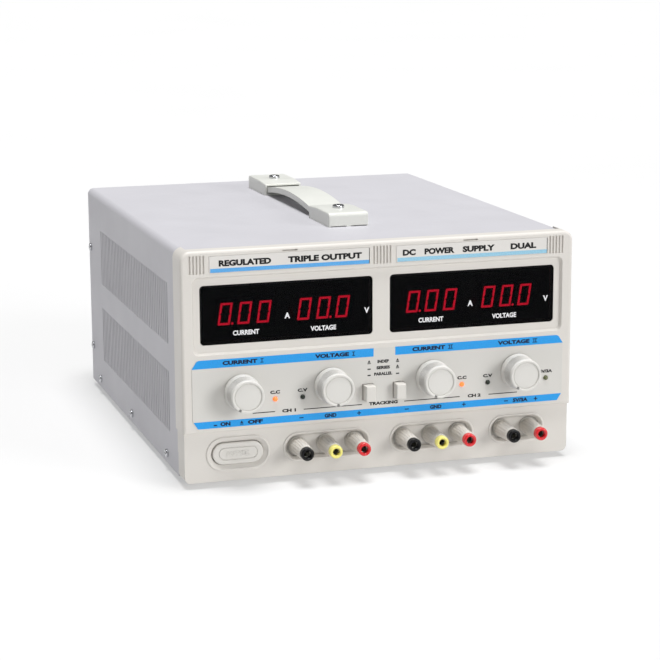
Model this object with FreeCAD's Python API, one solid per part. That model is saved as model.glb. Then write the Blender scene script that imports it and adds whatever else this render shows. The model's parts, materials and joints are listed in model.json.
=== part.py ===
import FreeCAD, Part
import math
import os

# Bench power supply: two adjustable outputs and one fixed output in a bent sheet-metal case.
# Every shape is drawn in case coordinates: X across, from the middle; Y back, from the upper
# bezel face; Z up, from the bezel's lower edge. write() moves it into the part's own frame,
# whose origin is the middle of the footprint, level with the bottom of the feet.

# Overall size, in millimetres
WIDTH = 265.0
HEIGHT = 150.0
CASE_DEPTH = 311.0
BEZEL_DEPTH = 20.5
FOOT_H = 4.0
POST_REACH = 19.0
SINK_REACH = 35.5
REAR_FACE = CASE_DEPTH - 0.5
REAR_SHEET = 1.5
REAR_FOLD = 12.0
REAR_CUT = (REAR_FACE - 4, REAR_FACE + 4)

# Front bezel
SIDE_WALL = 2.5
UPPER_WALL = 5.5
TOP_WALL = 4.6
STEP_Z = 32.8
LOWER_SETBACK = 2.5
LOWER_INSET = 1.0
LOWER_WALL_BACK = 8.5
POST_FLOOR = 6.0
TOP_CORNER_R = 6.5
INNER_CORNER_R = TOP_CORNER_R - SIDE_WALL
BOTTOM_CORNER_R = 4.0
EDGE_R = 2.0
DISPLAY_Z = (83.3, 133.3)
DISPLAY_HALF_W = 125.3
DISPLAY_DEPTH = 2.0
WINDOW_X = (5.8, 120.0)
WINDOW_Z = (89.4, 127.6)
WINDOW_R = 2.5
STRIP_X = ((-114.0, -8.4), (9.4, 114.5))
STRIP_Z = (135.7, 146.5)
STRIP_RECESS = 0.3
GROOVE_PITCH = 2.2
GROOVE_GROUPS = ((-127.0, 5), (-6.1, 6), (115.6, 5))
GROOVE_Z = (135.5, 147.0)

# Printed control overlay
OVERLAY_HALF_W = 126.4
OVERLAY_Z = (36.0, 80.5)
OVERLAY_T = 0.3
OVERLAY_CORNER = (3.5, 5.5)

# Controls: knob, lamp and button centres
KNOBS = (("current_left", -94.0, 33.0), ("voltage_left", -34.5, 2.0),
         ("current_right", 34.5, 20.0), ("voltage_right", 94.0, 36.0))
KNOB_Z = 58.3
KNOB_R = 11.4
KNOB_TIP_R = 10.6
KNOB_LENGTH = 15.5
KNOB_GAP = 0.9
KNOB_FLUTES = 40
SHAFT_R = 3.0
RUNNING_GAP = 0.05
LED_Z = 52.0
CURRENT_LED_X = (-72.1, 55.0)
VOLTAGE_LED_X = (-53.8, 73.2, 114.5)
LED_R = 1.5
TRACKING = (("left", -9.8), ("right", 11.0))
TRACKING_Z = 51.8
TRACKING_W = 6.4
TRACKING_H = 10.0
TRACKING_REACH = 7.0
BUTTON_GAP = 0.4
POWER_X = -96.3
POWER_Z = 17.8
POWER_W = 33.4
POWER_H = 14.2
POWER_BEVEL = (5.6, 5.0)

# Binding posts
POST_Z = 18.6
POST_PITCH = 19.05
POST_GROUPS = (("left", -37.0, ("minus", "ground", "plus")),
               ("right", 35.2, ("minus", "ground", "plus")),
               ("fixed", 95.0, ("minus", "plus")))
POCKET_H = 16.0
POCKET_MARGIN = 17.3
POCKET_BEVEL = 1.8
SOCKET_R = 2.0
SOCKET_DEPTH = 18.0
STEM_R = 3.0
NUT_R = 5.7
NUT_TIP_R = 4.7
TIP_R = 4.3
TIP_LENGTH = 4.0
NUT_RIBS = 18
RIB_GROOVE_R = 0.3
NUT_FRONT = -POST_REACH + TIP_LENGTH + 0.1
NUT_BACK = 4.3
STEM_FRONT = -POST_REACH + 3.4

# Sheet-metal case
COVER_HALF_W = 131.0
COVER_TOP = 149.0
COVER_BOTTOM = 0.6
COVER_BEND_R = 4.5
SHEET = 1.2
COVER_FRONT = BEZEL_DEPTH + 0.5
COVER_GAP = 0.4
TONGUE_HALF_W = 126.5
TONGUE_FRONT = 10.2
TRAY_FLOOR = 2.0
TRAY_HALF_W = 129.7
TRAY_WALL_TOP = 18.0
TRAY_WALL_Y = (27.0, REAR_FACE - 14.5)
VENT_COUNT = 41
VENT_PITCH = 5.46
VENT_W = 2.2
VENT_START = 45.5
VENT_ROWS = ((24.0, 65.0), (82.4, 123.4))
SIDE_SCREWS = ((53.0, 7.6), (164.0, 7.6), (277.0, 7.6), (303.0, 28.5), (303.0, 105.0))
FOOT_R = 8.5
FEET = ((-108.0, 34.0), (108.0, 34.0), (-108.0, 276.0), (108.0, 276.0))

# Handle on the cover
HANDLE_MID_Y = 172.3
HANDLE_LENGTH = 205.4
CAP_LENGTH = 46.5
CAP_HALF_W = 14.0
CAP_H = 9.5
CAP_MOUTH_H = 8.4
CAP_SLOT = 17.0
STRAP_HALF_W = 12.0
STRAP_T = 4.0
STRAP_LIFT = 2.0
STRAP_RISE = 4.5
HANDLE_SCREW_IN = 23.0

# Front sub-panel and what it carries
SUB_PANEL_Y = 12.0
SUB_PANEL_T = 1.5
SUB_PANEL_HALF_W = 126.0
SUB_PANEL_TOP = 81.0
CONTROL_BOARD_Y = 9.2
BOARD_T = 1.6

# Rear panel
FAN_Z = 90.0
FAN_HALF = 40.0
FAN_DEPTH = 25.0
FAN_SCREW = 35.75
ROTOR_R = 36.5
ROTOR_HUB_R = 16.0
ROTOR_BLADES = 7
INLET_X = -55.0
FUSE_X = 55.0
SERVICE_Z = 22.0
SINK_X = (46.0, 118.0)
SINK_Z = (42.0, 140.0)
SINK_BASE = 6.0
SINK_FINS = 11
SINK_FIN_T = 1.8

# Transformer
TRANSFORMER_MID = (-58.0, 130.0)
CORE_SIZE = (126.0, 60.0, 105.0)
CORE_LEG = 21.0

V = FreeCAD.Vector
CASE_TO_PART = V(0, POST_REACH - (POST_REACH + REAR_FACE + SINK_REACH) / 2, FOOT_H)


# ---------------------------------------------------------------- drawing helpers
def box(x, y, z):
    return Part.makeBox(x[1] - x[0], y[1] - y[0], z[1] - z[0], V(x[0], y[0], z[0]))


def rod_y(radius, x, z, y):
    return Part.makeCylinder(radius, y[1] - y[0], V(x, y[0], z), V(0, 1, 0))


def rod_z(radius, x, y, z):
    return Part.makeCylinder(radius, z[1] - z[0], V(x, y, z[0]), V(0, 0, 1))


def cone_y(front_r, back_r, x, z, y):
    return Part.makeCone(front_r, back_r, y[1] - y[0], V(x, y[0], z), V(0, 1, 0))


def fuse(shapes):
    shapes = list(shapes)
    if len(shapes) == 1:
        return shapes[0]
    return shapes[0].multiFuse(shapes[1:]).removeSplitter()


def group(shapes):
    return Part.makeCompound(list(shapes))


def ring_wire(corners, radii):
    """A closed wire through the corners, each rounded with its own radius."""
    count = len(corners)
    starts, ends = [], []
    edges = []
    for i, corner in enumerate(corners):
        before = (corners[i - 1] - corner).normalize()
        after = (corners[(i + 1) % count] - corner).normalize()
        reach = radii[i] / math.tan(before.getAngle(after) / 2)
        starts.append(corner + before * reach)
        ends.append(corner + after * reach)
    for i, corner in enumerate(corners):
        if radii[i] > 0:
            inward = ((starts[i] + ends[i]) * 0.5 - corner).normalize()
            half = (starts[i] - corner).getAngle(inward)
            centre = corner + inward * (radii[i] / math.sin(half))
            middle = centre - inward * radii[i]
            edges.append(Part.Arc(starts[i], middle, ends[i]).toShape())
        following = starts[(i + 1) % count]
        if ends[i].distanceToPoint(following) > 1e-6:
            edges.append(Part.LineSegment(ends[i], following).toShape())
    return Part.Wire(edges)


def front_wire(x, z, y, radii):
    """A rounded rectangle facing the front. Radii run lower left, lower right, upper right, upper left."""
    corners = [V(x[0], y, z[0]), V(x[1], y, z[0]), V(x[1], y, z[1]), V(x[0], y, z[1])]
    return ring_wire(corners, radii)


def front_plate(x, z, y, radius):
    radii = radius if isinstance(radius, tuple) else (radius,) * 4
    return Part.Face(front_wire(x, z, y[0], radii)).extrude(V(0, y[1] - y[0], 0))


def stadium(x, z, width, height, y):
    half_w, half_h = width / 2, height / 2
    return front_plate((x - half_w, x + half_w), (z - half_h, z + half_h), y, half_h)


def stadium_wire(x, z, width, height, y):
    half_w, half_h = width / 2, height / 2
    return front_wire((x - half_w, x + half_w), (z - half_h, z + half_h), y, (half_h,) * 4)


def round_front_edges(shape, y, radius):
    edges = [e for e in shape.Edges if all(abs(v.Point.y - y) < 1e-6 for v in e.Vertexes)]
    return shape.makeFillet(radius, edges)


def pan_head_screw(head_r, head_h, shank_r, length, place, pointing):
    """A cross-recess screw whose head stands on place and whose shank runs along pointing."""
    head = Part.makeCylinder(head_r, head_h, V(0, 0, -head_h))
    rim = [e for e in head.Edges if e.BoundBox.ZMax < -head_h + 1e-6]
    head = head.makeFillet(head_h * 0.45, rim)
    arm, slot, depth = head_r * 0.6, head_r * 0.12, head_h * 0.6
    floor = (-head_h - 1, -head_h + depth)
    cross = box((-arm, arm), (-slot, slot), floor).fuse(box((-slot, slot), (-arm, arm), floor))
    screw = head.fuse(Part.makeCylinder(shank_r, length)).removeSplitter().cut(cross)
    screw.Placement = FreeCAD.Placement(place, FreeCAD.Rotation(V(0, 0, 1), pointing))
    return screw


def hex_nut(across_flats, hole_r, x, y, z, along):
    """A hexagonal nut around the axis along, from the point x, y, z."""
    corner = across_flats / math.sqrt(3)
    angles = [i * math.pi / 3 for i in range(7)]
    points = [V(corner * math.cos(a), corner * math.sin(a), 0) for a in angles]
    nut = Part.Face(Part.makePolygon(points)).extrude(V(0, 0, along.Length))
    nut = nut.cut(Part.makeCylinder(hole_r, along.Length))
    nut.Placement = FreeCAD.Placement(V(x, y, z), FreeCAD.Rotation(V(0, 0, 1), along))
    return nut


def post_places():
    """Name and X of every binding post."""
    places = []
    for side, middle, poles in POST_GROUPS:
        for i, pole in enumerate(poles):
            places.append((f"{side}_{pole}", middle + POST_PITCH * (i - (len(poles) - 1) / 2)))
    return places


# ---------------------------------------------------------------- front bezel
def bezel_shell():
    half = WIDTH / 2
    upper_radii = (0, 0, TOP_CORNER_R, TOP_CORNER_R)
    lower_radii = (BOTTOM_CORNER_R, BOTTOM_CORNER_R, 0, 0)
    upper = front_plate((-half, half), (STEP_Z, HEIGHT), (0, BEZEL_DEPTH), upper_radii)
    upper = round_front_edges(upper, 0, EDGE_R)
    low_half = half - LOWER_INSET
    lower = front_plate((-low_half, low_half), (0, STEP_Z + 4), (LOWER_SETBACK, BEZEL_DEPTH), lower_radii)
    shell = upper.fuse(lower).removeSplitter()
    inner = half - SIDE_WALL
    inner_radii = (0, 0, INNER_CORNER_R, INNER_CORNER_R)
    low_inner = inner - LOWER_INSET
    lower_top = STEP_Z + SIDE_WALL
    upper_room = front_plate((-inner, inner), (lower_top, HEIGHT - TOP_WALL),
                             (UPPER_WALL, BEZEL_DEPTH), inner_radii)
    lower_room = box((-low_inner, low_inner), (LOWER_WALL_BACK, BEZEL_DEPTH), (TRAY_FLOOR, lower_top))
    return shell.cut(upper_room.fuse(lower_room))


def cover_lip():
    """A ledge behind the bezel that the cover's front edge slips over."""
    outer = COVER_HALF_W - SHEET - COVER_GAP
    top = COVER_TOP - SHEET - COVER_GAP
    radius = COVER_BEND_R - SHEET
    run = (BEZEL_DEPTH - 4, BEZEL_DEPTH + 5)
    lip = front_plate((-outer, outer), (40, top), run, (0, 0, radius, radius))
    hollow = front_plate((-outer + 2, outer - 2), (30, top - 2), run, (0, 0, 1, 1))
    wall = WIDTH / 2 - SIDE_WALL + 0.2
    joiner = front_plate((-wall, wall), (40, top), (BEZEL_DEPTH - 4, BEZEL_DEPTH),
                         (0, 0, INNER_CORNER_R, INNER_CORNER_R))
    return lip.fuse(joiner).cut(hollow)


def cover_seat():
    """The step in the bezel's top that the cover's tongue lies in."""
    half = TONGUE_HALF_W + COVER_GAP
    return box((-half, half), (TONGUE_FRONT - COVER_GAP, BEZEL_DEPTH + 6),
               (COVER_TOP - SHEET - COVER_GAP, HEIGHT + 1))


def display_recess():
    """The shallow tray with sloping walls around the two windows."""
    slope = 1.2
    z0, z1 = DISPLAY_Z
    outer = front_wire((-DISPLAY_HALF_W, DISPLAY_HALF_W), (z0, z1), 0, (4.0,) * 4)
    inner = front_wire((-DISPLAY_HALF_W + slope, DISPLAY_HALF_W - slope),
                       (z0 + slope, z1 - slope), DISPLAY_DEPTH, (3.0,) * 4)
    return Part.makeLoft([outer, inner], True, True)


def window_openings():
    ledge = 1.8
    cuts = []
    for side in (-1, 1):
        x = sorted((side * WINDOW_X[0], side * WINDOW_X[1]))
        cuts.append(front_plate(x, WINDOW_Z, (DISPLAY_DEPTH - 0.5, 4.6), WINDOW_R))
        inner_x = (x[0] + ledge, x[1] - ledge)
        inner_z = (WINDOW_Z[0] + ledge, WINDOW_Z[1] - ledge)
        cuts.append(front_plate(inner_x, inner_z, (4, UPPER_WALL + 1), 1.0))
    return cuts


def top_strip_cuts():
    """Decorative grooves, the two strip recesses and the two pry slots above them."""
    cuts = []
    for start, count in GROOVE_GROUPS:
        for i in range(count):
            x = start + i * GROOVE_PITCH
            cuts.append(box((x, x + 1.1), (-1, 0.8), GROOVE_Z))
    for x in STRIP_X:
        cuts.append(box(x, (-1, STRIP_RECESS), STRIP_Z))
    for x in (-61.4, 60.5):
        cuts.append(box((x - 5, x + 5), (-1, 1.6), (147.2, 148.0)))
    return cuts


def control_cuts(clearance):
    """Openings for the shafts, lamps and tracking buttons, shared by bezel and overlay."""
    cuts = [rod_y(4.5, x, KNOB_Z, (-1, 7)) for _, x, _ in KNOBS]
    for x in CURRENT_LED_X + VOLTAGE_LED_X:
        cuts.append(rod_y(LED_R + 0.1, x, LED_Z, (-1, 7)))
    half_w = TRACKING_W / 2 + clearance
    half_h = TRACKING_H / 2 + clearance
    for _, x in TRACKING:
        cuts.append(box((x - half_w, x + half_w), (-1, 7), (TRACKING_Z - half_h, TRACKING_Z + half_h)))
    return cuts


def power_opening():
    over_w, over_h = POWER_BEVEL
    outer = stadium_wire(POWER_X, POWER_Z, POWER_W + over_w, POWER_H + over_h, LOWER_SETBACK - 0.01)
    inner = stadium_wire(POWER_X, POWER_Z, POWER_W + 1.2, POWER_H + 0.9, LOWER_SETBACK + 1.5)
    bevel = Part.makeLoft([outer, inner], True, True)
    hole = stadium(POWER_X, POWER_Z, POWER_W + 2 * BUTTON_GAP, POWER_H + 2 * BUTTON_GAP, (3, 10))
    return bevel.fuse(hole)


def post_pockets():
    """A stadium pocket with a bevelled rim for each group of binding posts."""
    cuts = []
    for _, middle, poles in POST_GROUPS:
        width = POST_PITCH * (len(poles) - 1) + POCKET_MARGIN
        outer = stadium_wire(middle, POST_Z, width, POCKET_H, LOWER_SETBACK - 0.01)
        floor_w, floor_h = width - POCKET_BEVEL, POCKET_H - POCKET_BEVEL
        inner = stadium_wire(middle, POST_Z, floor_w, floor_h, LOWER_SETBACK + 1.5)
        cuts.append(Part.makeLoft([outer, inner], True, True))
        cuts.append(stadium(middle, POST_Z, floor_w - 0.4, floor_h - 0.4, (3.5, POST_FLOOR)))
    for _, x in post_places():
        cuts.append(rod_y(4.1, x, POST_Z, (POST_FLOOR - 1, LOWER_WALL_BACK + 1)))
    return cuts


def bezel_bosses():
    bosses = []
    for x in (-123.0, 123.0):
        for z in (86.5, 131.0):
            bosses.append(rod_y(2.5, x, z, (UPPER_WALL - 0.5, 13.4)))
        for z in (50.0, 75.5):
            bosses.append(rod_y(2.2, x, z, (UPPER_WALL - 0.5, CONTROL_BOARD_Y)))
        bosses.append(rod_y(2.5, x, 41.0, (UPPER_WALL - 0.5, SUB_PANEL_Y)))
    return bosses


def pry_slots():
    """A slit low down on each side, where the case is prised apart."""
    half = WIDTH / 2
    slots = []
    for side in (-1, 1):
        x = sorted((side * (half - LOWER_INSET - 1.4), side * (half + 1)))
        slots.append(box(x, (BEZEL_DEPTH - 1.2, BEZEL_DEPTH + 1), (-1, 17)))
    return slots


def front_bezel():
    shell = fuse([bezel_shell(), cover_lip()] + bezel_bosses())
    cuts = [cover_seat(), display_recess(), power_opening()] + window_openings() + top_strip_cuts()
    cuts += control_cuts(BUTTON_GAP) + post_pockets() + pry_slots()
    return shell.cut(cuts)


def display_window(side):
    x = sorted((side * WINDOW_X[0], side * WINDOW_X[1]))
    gap = 0.15
    x = (x[0] + gap, x[1] - gap)
    z = (WINDOW_Z[0] + gap, WINDOW_Z[1] - gap)
    return front_plate(x, z, (2.2, 4.6), WINDOW_R)


def name_strips():
    gap = 0.1
    z = (STRIP_Z[0] + gap, STRIP_Z[1] - gap)
    return group(box((x[0] + gap, x[1] - gap), (-0.2, STRIP_RECESS), z) for x in STRIP_X)


def control_overlay():
    half = OVERLAY_HALF_W
    z0, z1 = OVERLAY_Z
    cut_x, cut_z = OVERLAY_CORNER
    outline = [(-half + cut_x, z0), (half - cut_x, z0), (half, z0 + cut_z), (half, z1 - cut_z),
               (half - cut_x, z1), (-half + cut_x, z1), (-half, z1 - cut_z), (-half, z0 + cut_z)]
    points = [V(x, -OVERLAY_T, z) for x, z in outline]
    sheet = Part.Face(Part.makePolygon(points + points[:1])).extrude(V(0, OVERLAY_T, 0))
    return sheet.cut(control_cuts(BUTTON_GAP + 0.1))


# ---------------------------------------------------------------- knobs and shafts
def knob(x, pointer):
    """A tapered knob with a fluted side, a dished face and a pointer notch in its rim."""
    back = -KNOB_GAP
    front = back - KNOB_LENGTH
    skirt = rod_y(KNOB_R + 0.3, x, KNOB_Z, (back - 2.0, back))
    cone = cone_y(KNOB_TIP_R, KNOB_R, x, KNOB_Z, (front, back - 2.0))
    cone = round_front_edges(cone, front, 0.8)
    flutes = []
    slope = math.atan((KNOB_R - KNOB_TIP_R) / (KNOB_LENGTH - 2))
    for i in range(KNOB_FLUTES):
        flute = Part.makeCylinder(0.45, KNOB_LENGTH - 5, V(0, front + 2.2, KNOB_TIP_R + 0.25), V(0, 1, 0))
        flute.rotate(V(0, front, KNOB_TIP_R + 0.25), V(1, 0, 0), math.degrees(slope))
        flute.rotate(V(0, 0, 0), V(0, 1, 0), i * 360 / KNOB_FLUTES)
        flute.translate(V(x, 0, KNOB_Z))
        flutes.append(flute)
    dish = cone_y(KNOB_TIP_R - 1.5, KNOB_TIP_R - 2.0, x, KNOB_Z, (front - 0.01, front + 0.6))
    notch = box((x - 0.5, x + 0.5), (front - 1, front + 0.8), (KNOB_Z - KNOB_TIP_R - 1, KNOB_Z - 8.6))
    notch.rotate(V(x, 0, KNOB_Z), V(0, 1, 0), pointer)
    bore = rod_y(SHAFT_R + 0.02, x, KNOB_Z, (front + 3.5, back + 1))
    return skirt.fuse(cone).removeSplitter().cut(flutes + [dish, notch, bore])


def pot_shaft(x):
    return rod_y(SHAFT_R, x, KNOB_Z, (-12.8, 19.5))


def potentiometers():
    """Bodies behind the sub-panel, each with its bushing, terminals and fixing nut."""
    solids = []
    back = SUB_PANEL_Y + SUB_PANEL_T
    for _, x, _ in KNOBS:
        body = rod_y(8.2, x, KNOB_Z, (back, back + 10))
        bush = rod_y(3.5, x, KNOB_Z, (6.5, back + 1))
        tabs = [box((x + dx - 0.8, x + dx + 0.8), (back + 1, back + 1.8), (KNOB_Z - 14, KNOB_Z - 7))
                for dx in (-5, 0, 5)]
        bore = rod_y(SHAFT_R + RUNNING_GAP, x, KNOB_Z, (6, 21))
        solids.append(fuse([body, bush] + tabs).cut(bore))
        solids.append(hex_nut(10, 3.55, x, SUB_PANEL_Y - 2.2, KNOB_Z, V(0, 2.2, 0)))
    return group(solids)


# ---------------------------------------------------------------- buttons, lamps, switches
def tracking_button(x):
    half_w, half_h = TRACKING_W / 2, TRACKING_H / 2
    front = -TRACKING_REACH
    cap = box((x - half_w, x + half_w), (front, 8.5), (TRACKING_Z - half_h, TRACKING_Z + half_h))
    cap = round_front_edges(cap, front, 0.6)
    flange = box((x - half_w - 1.2, x + half_w + 1.2), (7.3, 8.5),
                 (TRACKING_Z - half_h - 1.2, TRACKING_Z + half_h + 1.2))
    plunger = box((x - 1.5, x + 1.5), (8, 21), (TRACKING_Z - 1.5, TRACKING_Z + 1.5))
    return fuse([cap, flange, plunger])


def tracking_switches():
    solids = []
    back = SUB_PANEL_Y + SUB_PANEL_T
    for _, x in TRACKING:
        body = box((x - 4.5, x + 4.5), (back, back + 19), (TRACKING_Z - 6, TRACKING_Z + 6))
        well = box((x - 2, x + 2), (back - 1, back + 14), (TRACKING_Z - 2, TRACKING_Z + 2))
        pin_z = (TRACKING_Z - 9, TRACKING_Z - 6)
        pins = [box((x + dx - 0.4, x + dx + 0.4), (back + dy, back + dy + 0.8), pin_z)
                for dx in (-2.5, 2.5) for dy in (4, 9, 14)]
        solids.append(fuse([body] + pins).cut(well))
    return group(solids)


def power_button():
    """A broad stadium cap with a raised oval line on its face, a rear flange and a plunger."""
    cap = stadium(POWER_X, POWER_Z, POWER_W, POWER_H, (2.3, 12.6))
    cap = round_front_edges(cap, 2.3, 0.8)
    line = stadium(POWER_X, POWER_Z, 26.0, 8.4, (1, 2.6)).cut(
        stadium(POWER_X, POWER_Z, 24.8, 7.2, (0, 3)))
    flange = stadium(POWER_X, POWER_Z, POWER_W + 3, POWER_H + 3, (11.7, 12.6))
    plunger = box((POWER_X - 2, POWER_X + 2), (12, 27), (POWER_Z - 2, POWER_Z + 2))
    return fuse([cap, flange, plunger]).cut(line)


def power_switch():
    """The mains switch on its bracket, bored for the plunger."""
    body = box((POWER_X - 8, POWER_X + 8), (20, 48), (POWER_Z - 7.5, POWER_Z + 7.5))
    well = box((POWER_X - 2.5, POWER_X + 2.5), (19, 34), (POWER_Z - 2.5, POWER_Z + 2.5))
    floor = TRAY_FLOOR + SHEET
    legs = [box((POWER_X + dx - 1, POWER_X + dx + 1), (22, 46), (floor, POWER_Z - 7)) for dx in (-6, 6)]
    foot = box((POWER_X - 12, POWER_X + 12), (36, 46), (floor, floor + 1.2))
    return fuse([body, foot] + legs).cut(well)


def lamps(places):
    """Round lamps: a domed lens through the panel, a collar behind it and a body down to the board."""
    solids = []
    for x in places:
        dome = Part.makeSphere(LED_R, V(x, -0.6, LED_Z))
        stem = rod_y(LED_R, x, LED_Z, (-0.6, CONTROL_BOARD_Y))
        collar = rod_y(1.9, x, LED_Z, (UPPER_WALL + 0.1, UPPER_WALL + 1.1))
        solids.append(fuse([dome, stem, collar]))
    return group(solids)


def digit_modules():
    """Four three-digit display blocks, two behind each window."""
    blocks = []
    for side in (-120.0, 5.8):
        for offset in (32.0, 84.3):
            x = side + offset
            blocks.append(box((x - 18.8, x + 18.8), (6, 13.4), (98.5, 117.5)))
    return group(blocks)


# ---------------------------------------------------------------- binding posts
def post_nut(x):
    """The ribbed thumb nut, running on the stem's thread."""
    barrel = cone_y(NUT_TIP_R, NUT_R, x, POST_Z, (NUT_FRONT, NUT_BACK))
    barrel = round_front_edges(barrel, NUT_FRONT, 0.4)
    grooves = []
    slope = math.atan((NUT_R - NUT_TIP_R) / (NUT_BACK - NUT_FRONT))
    start = V(0, NUT_FRONT + 2.1, NUT_TIP_R + 0.15)
    for i in range(NUT_RIBS):
        groove = Part.makeCylinder(RIB_GROOVE_R, NUT_BACK - start.y - 2.1, start, V(0, 1, 0))
        groove.rotate(start, V(1, 0, 0), math.degrees(slope))
        groove.rotate(V(0, 0, 0), V(0, 1, 0), i * 360 / NUT_RIBS)
        groove.translate(V(x, 0, POST_Z))
        grooves.append(groove)
    bore = rod_y(STEM_R + RUNNING_GAP, x, POST_Z, (NUT_FRONT - 1, NUT_BACK + 1))
    return barrel.cut(grooves + [bore])


def post_tip(x):
    """The coloured ring on the nut's nose, open for the plug."""
    ring = rod_y(TIP_R, x, POST_Z, (-POST_REACH, -POST_REACH + TIP_LENGTH))
    ring = round_front_edges(ring, -POST_REACH, 0.9)
    mouth = rod_y(2.3, x, POST_Z, (-POST_REACH - 1, STEM_FRONT))
    seat = rod_y(STEM_R + 0.1, x, POST_Z, (STEM_FRONT - 0.6, NUT_FRONT + 1))
    lead_in = cone_y(3.0, 2.3, x, POST_Z, (-POST_REACH - 0.01, -POST_REACH + 0.7))
    return ring.cut([mouth, seat, lead_in])


def post_stems():
    """Plated stems with the plug socket in front and a fixed nut and solder end behind."""
    solids = []
    for _, x in post_places():
        stem = rod_y(STEM_R, x, POST_Z, (STEM_FRONT, 28))
        nut = hex_nut(9, 0.5, x, 9.5, POST_Z, V(0, 2.4, 0))
        lug = rod_y(1.0, x, POST_Z, (27, 33))
        socket = rod_y(SOCKET_R, x, POST_Z, (STEM_FRONT - 1, STEM_FRONT + SOCKET_DEPTH))
        solids.append(fuse([stem, nut, lug]).cut(socket))
    return group(solids)


def post_bases():
    """Insulating collars either side of the bezel wall."""
    solids = []
    hole = STEM_R + RUNNING_GAP
    for _, x in post_places():
        collar = rod_y(6.2, x, POST_Z, (4.4, POST_FLOOR)).fuse(rod_y(4.0, x, POST_Z, (5, 8.4)))
        solids.append(collar.cut(rod_y(hole, x, POST_Z, (0, 12))))
        washer = rod_y(5.8, x, POST_Z, (LOWER_WALL_BACK, 9.5))
        solids.append(washer.cut(rod_y(hole, x, POST_Z, (0, 12))))
    return group(solids)


# ---------------------------------------------------------------- sheet-metal case
def vent_slots():
    """Upright slots through both sides of the cover."""
    slots = []
    r = VENT_W / 2
    reach = COVER_HALF_W + 2
    for z0, z1 in VENT_ROWS:
        for i in range(VENT_COUNT):
            y = VENT_START + i * VENT_PITCH
            corners = [V(-reach, y - r, z0), V(-reach, y + r, z0),
                       V(-reach, y + r, z1), V(-reach, y - r, z1)]
            slots.append(Part.Face(ring_wire(corners, (r,) * 4)).extrude(V(2 * reach, 0, 0)))
    return slots


def top_cover():
    """The bent cover, whose top runs on over the bezel as a tongue."""
    half, r = COVER_HALF_W, COVER_BEND_R
    run = (COVER_FRONT, CASE_DEPTH)
    outer = front_plate((-half, half), (COVER_BOTTOM, COVER_TOP), run, (0, 0, r, r))
    inner_half = half - SHEET
    inner = front_plate((-inner_half, inner_half), (COVER_BOTTOM - 5, COVER_TOP - SHEET), run,
                        (0, 0, r - SHEET, r - SHEET))
    tongue = box((-TONGUE_HALF_W, TONGUE_HALF_W), (TONGUE_FRONT, COVER_FRONT + 1),
                 (COVER_TOP - SHEET, COVER_TOP))
    holes = vent_slots()
    for y, z in SIDE_SCREWS:
        holes.append(Part.makeCylinder(1.7, 2 * half + 4, V(-half - 2, y, z), V(1, 0, 0)))
    for y in handle_screw_y():
        holes.append(rod_z(2.2, 0, y, (140, 155)))
    return fuse([outer.cut(inner), tongue]).cut(holes)


def base_tray():
    """The floor with low side walls, a front tongue inside the bezel and board stand-offs."""
    half = TRAY_HALF_W
    top = TRAY_FLOOR + SHEET
    floor = box((-half, half), (COVER_FRONT, REAR_FACE - 0.5), (TRAY_FLOOR, top))
    tongue = box((-127.5, 127.5), (16, COVER_FRONT + 1), (TRAY_FLOOR, top))
    walls = [box(sorted((s * half, s * (half - SHEET))), TRAY_WALL_Y, (TRAY_FLOOR, TRAY_WALL_TOP))
             for s in (-1, 1)]
    posts = [rod_z(3.0, x, y, (TRAY_FLOOR + 0.5, 17)) for x in (26.0, 116.0) for y in (96.0, 226.0)]
    holes = [Part.makeCylinder(1.55, 2 * half + 4, V(-half - 2, y, z), V(1, 0, 0))
             for y, z in SIDE_SCREWS[:3]]
    holes += [rod_z(2.1, x, y, (0, 6)) for x, y in FEET]
    return fuse([floor, tongue] + walls + posts).cut(holes)


def fan_grille():
    """Ring slots in front of the fan, left joined by four spokes."""
    rings = []
    for inner, outer in ((8, 14), (17, 23), (26, 32), (34, 38)):
        ring = rod_y(outer, 0, FAN_Z, REAR_CUT).cut(rod_y(inner, 0, FAN_Z, REAR_CUT))
        rings.append(ring)
    spokes = []
    for turn in (45, 135):
        spoke = box((-2, 2), REAR_CUT, (FAN_Z - 45, FAN_Z + 45))
        spoke.rotate(V(0, 0, FAN_Z), V(0, 1, 0), turn)
        spokes.append(spoke)
    return [ring.cut(spokes) for ring in rings]


def rear_panel():
    half = COVER_HALF_W - SHEET - 0.1
    low, high = TRAY_FLOOR + SHEET, COVER_TOP - SHEET - 0.1
    front = REAR_FACE - REAR_SHEET
    fold = (front - REAR_FOLD, front + 0.5)
    r = COVER_BEND_R - SHEET
    plate = front_plate((-half, half), (low, high), (front, REAR_FACE), (0, 0, r, r))
    flanges = [box(sorted((s * half, s * (half - SHEET))), fold, (low, high - 6)) for s in (-1, 1)]
    foot = box((-110, 110), fold, (low, low + SHEET))
    cuts = fan_grille()
    for y, z in SIDE_SCREWS[3:]:
        cuts.append(Part.makeCylinder(1.55, 2 * half + 4, V(-half - 2, y, z), V(1, 0, 0)))
    for x, z in fan_corners():
        cuts.append(rod_y(1.7, x, z, REAR_CUT))
    cuts.append(box((INLET_X - 14.2, INLET_X + 14.2), REAR_CUT, (SERVICE_Z - 10.4, SERVICE_Z + 10.4)))
    cuts.append(rod_y(6.4, FUSE_X, SERVICE_Z, REAR_CUT))
    return fuse([plate, foot] + flanges).cut(cuts)


def fan_corners():
    return [(sx * FAN_SCREW, FAN_Z + sz * FAN_SCREW) for sx in (-1, 1) for sz in (-1, 1)]


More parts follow.
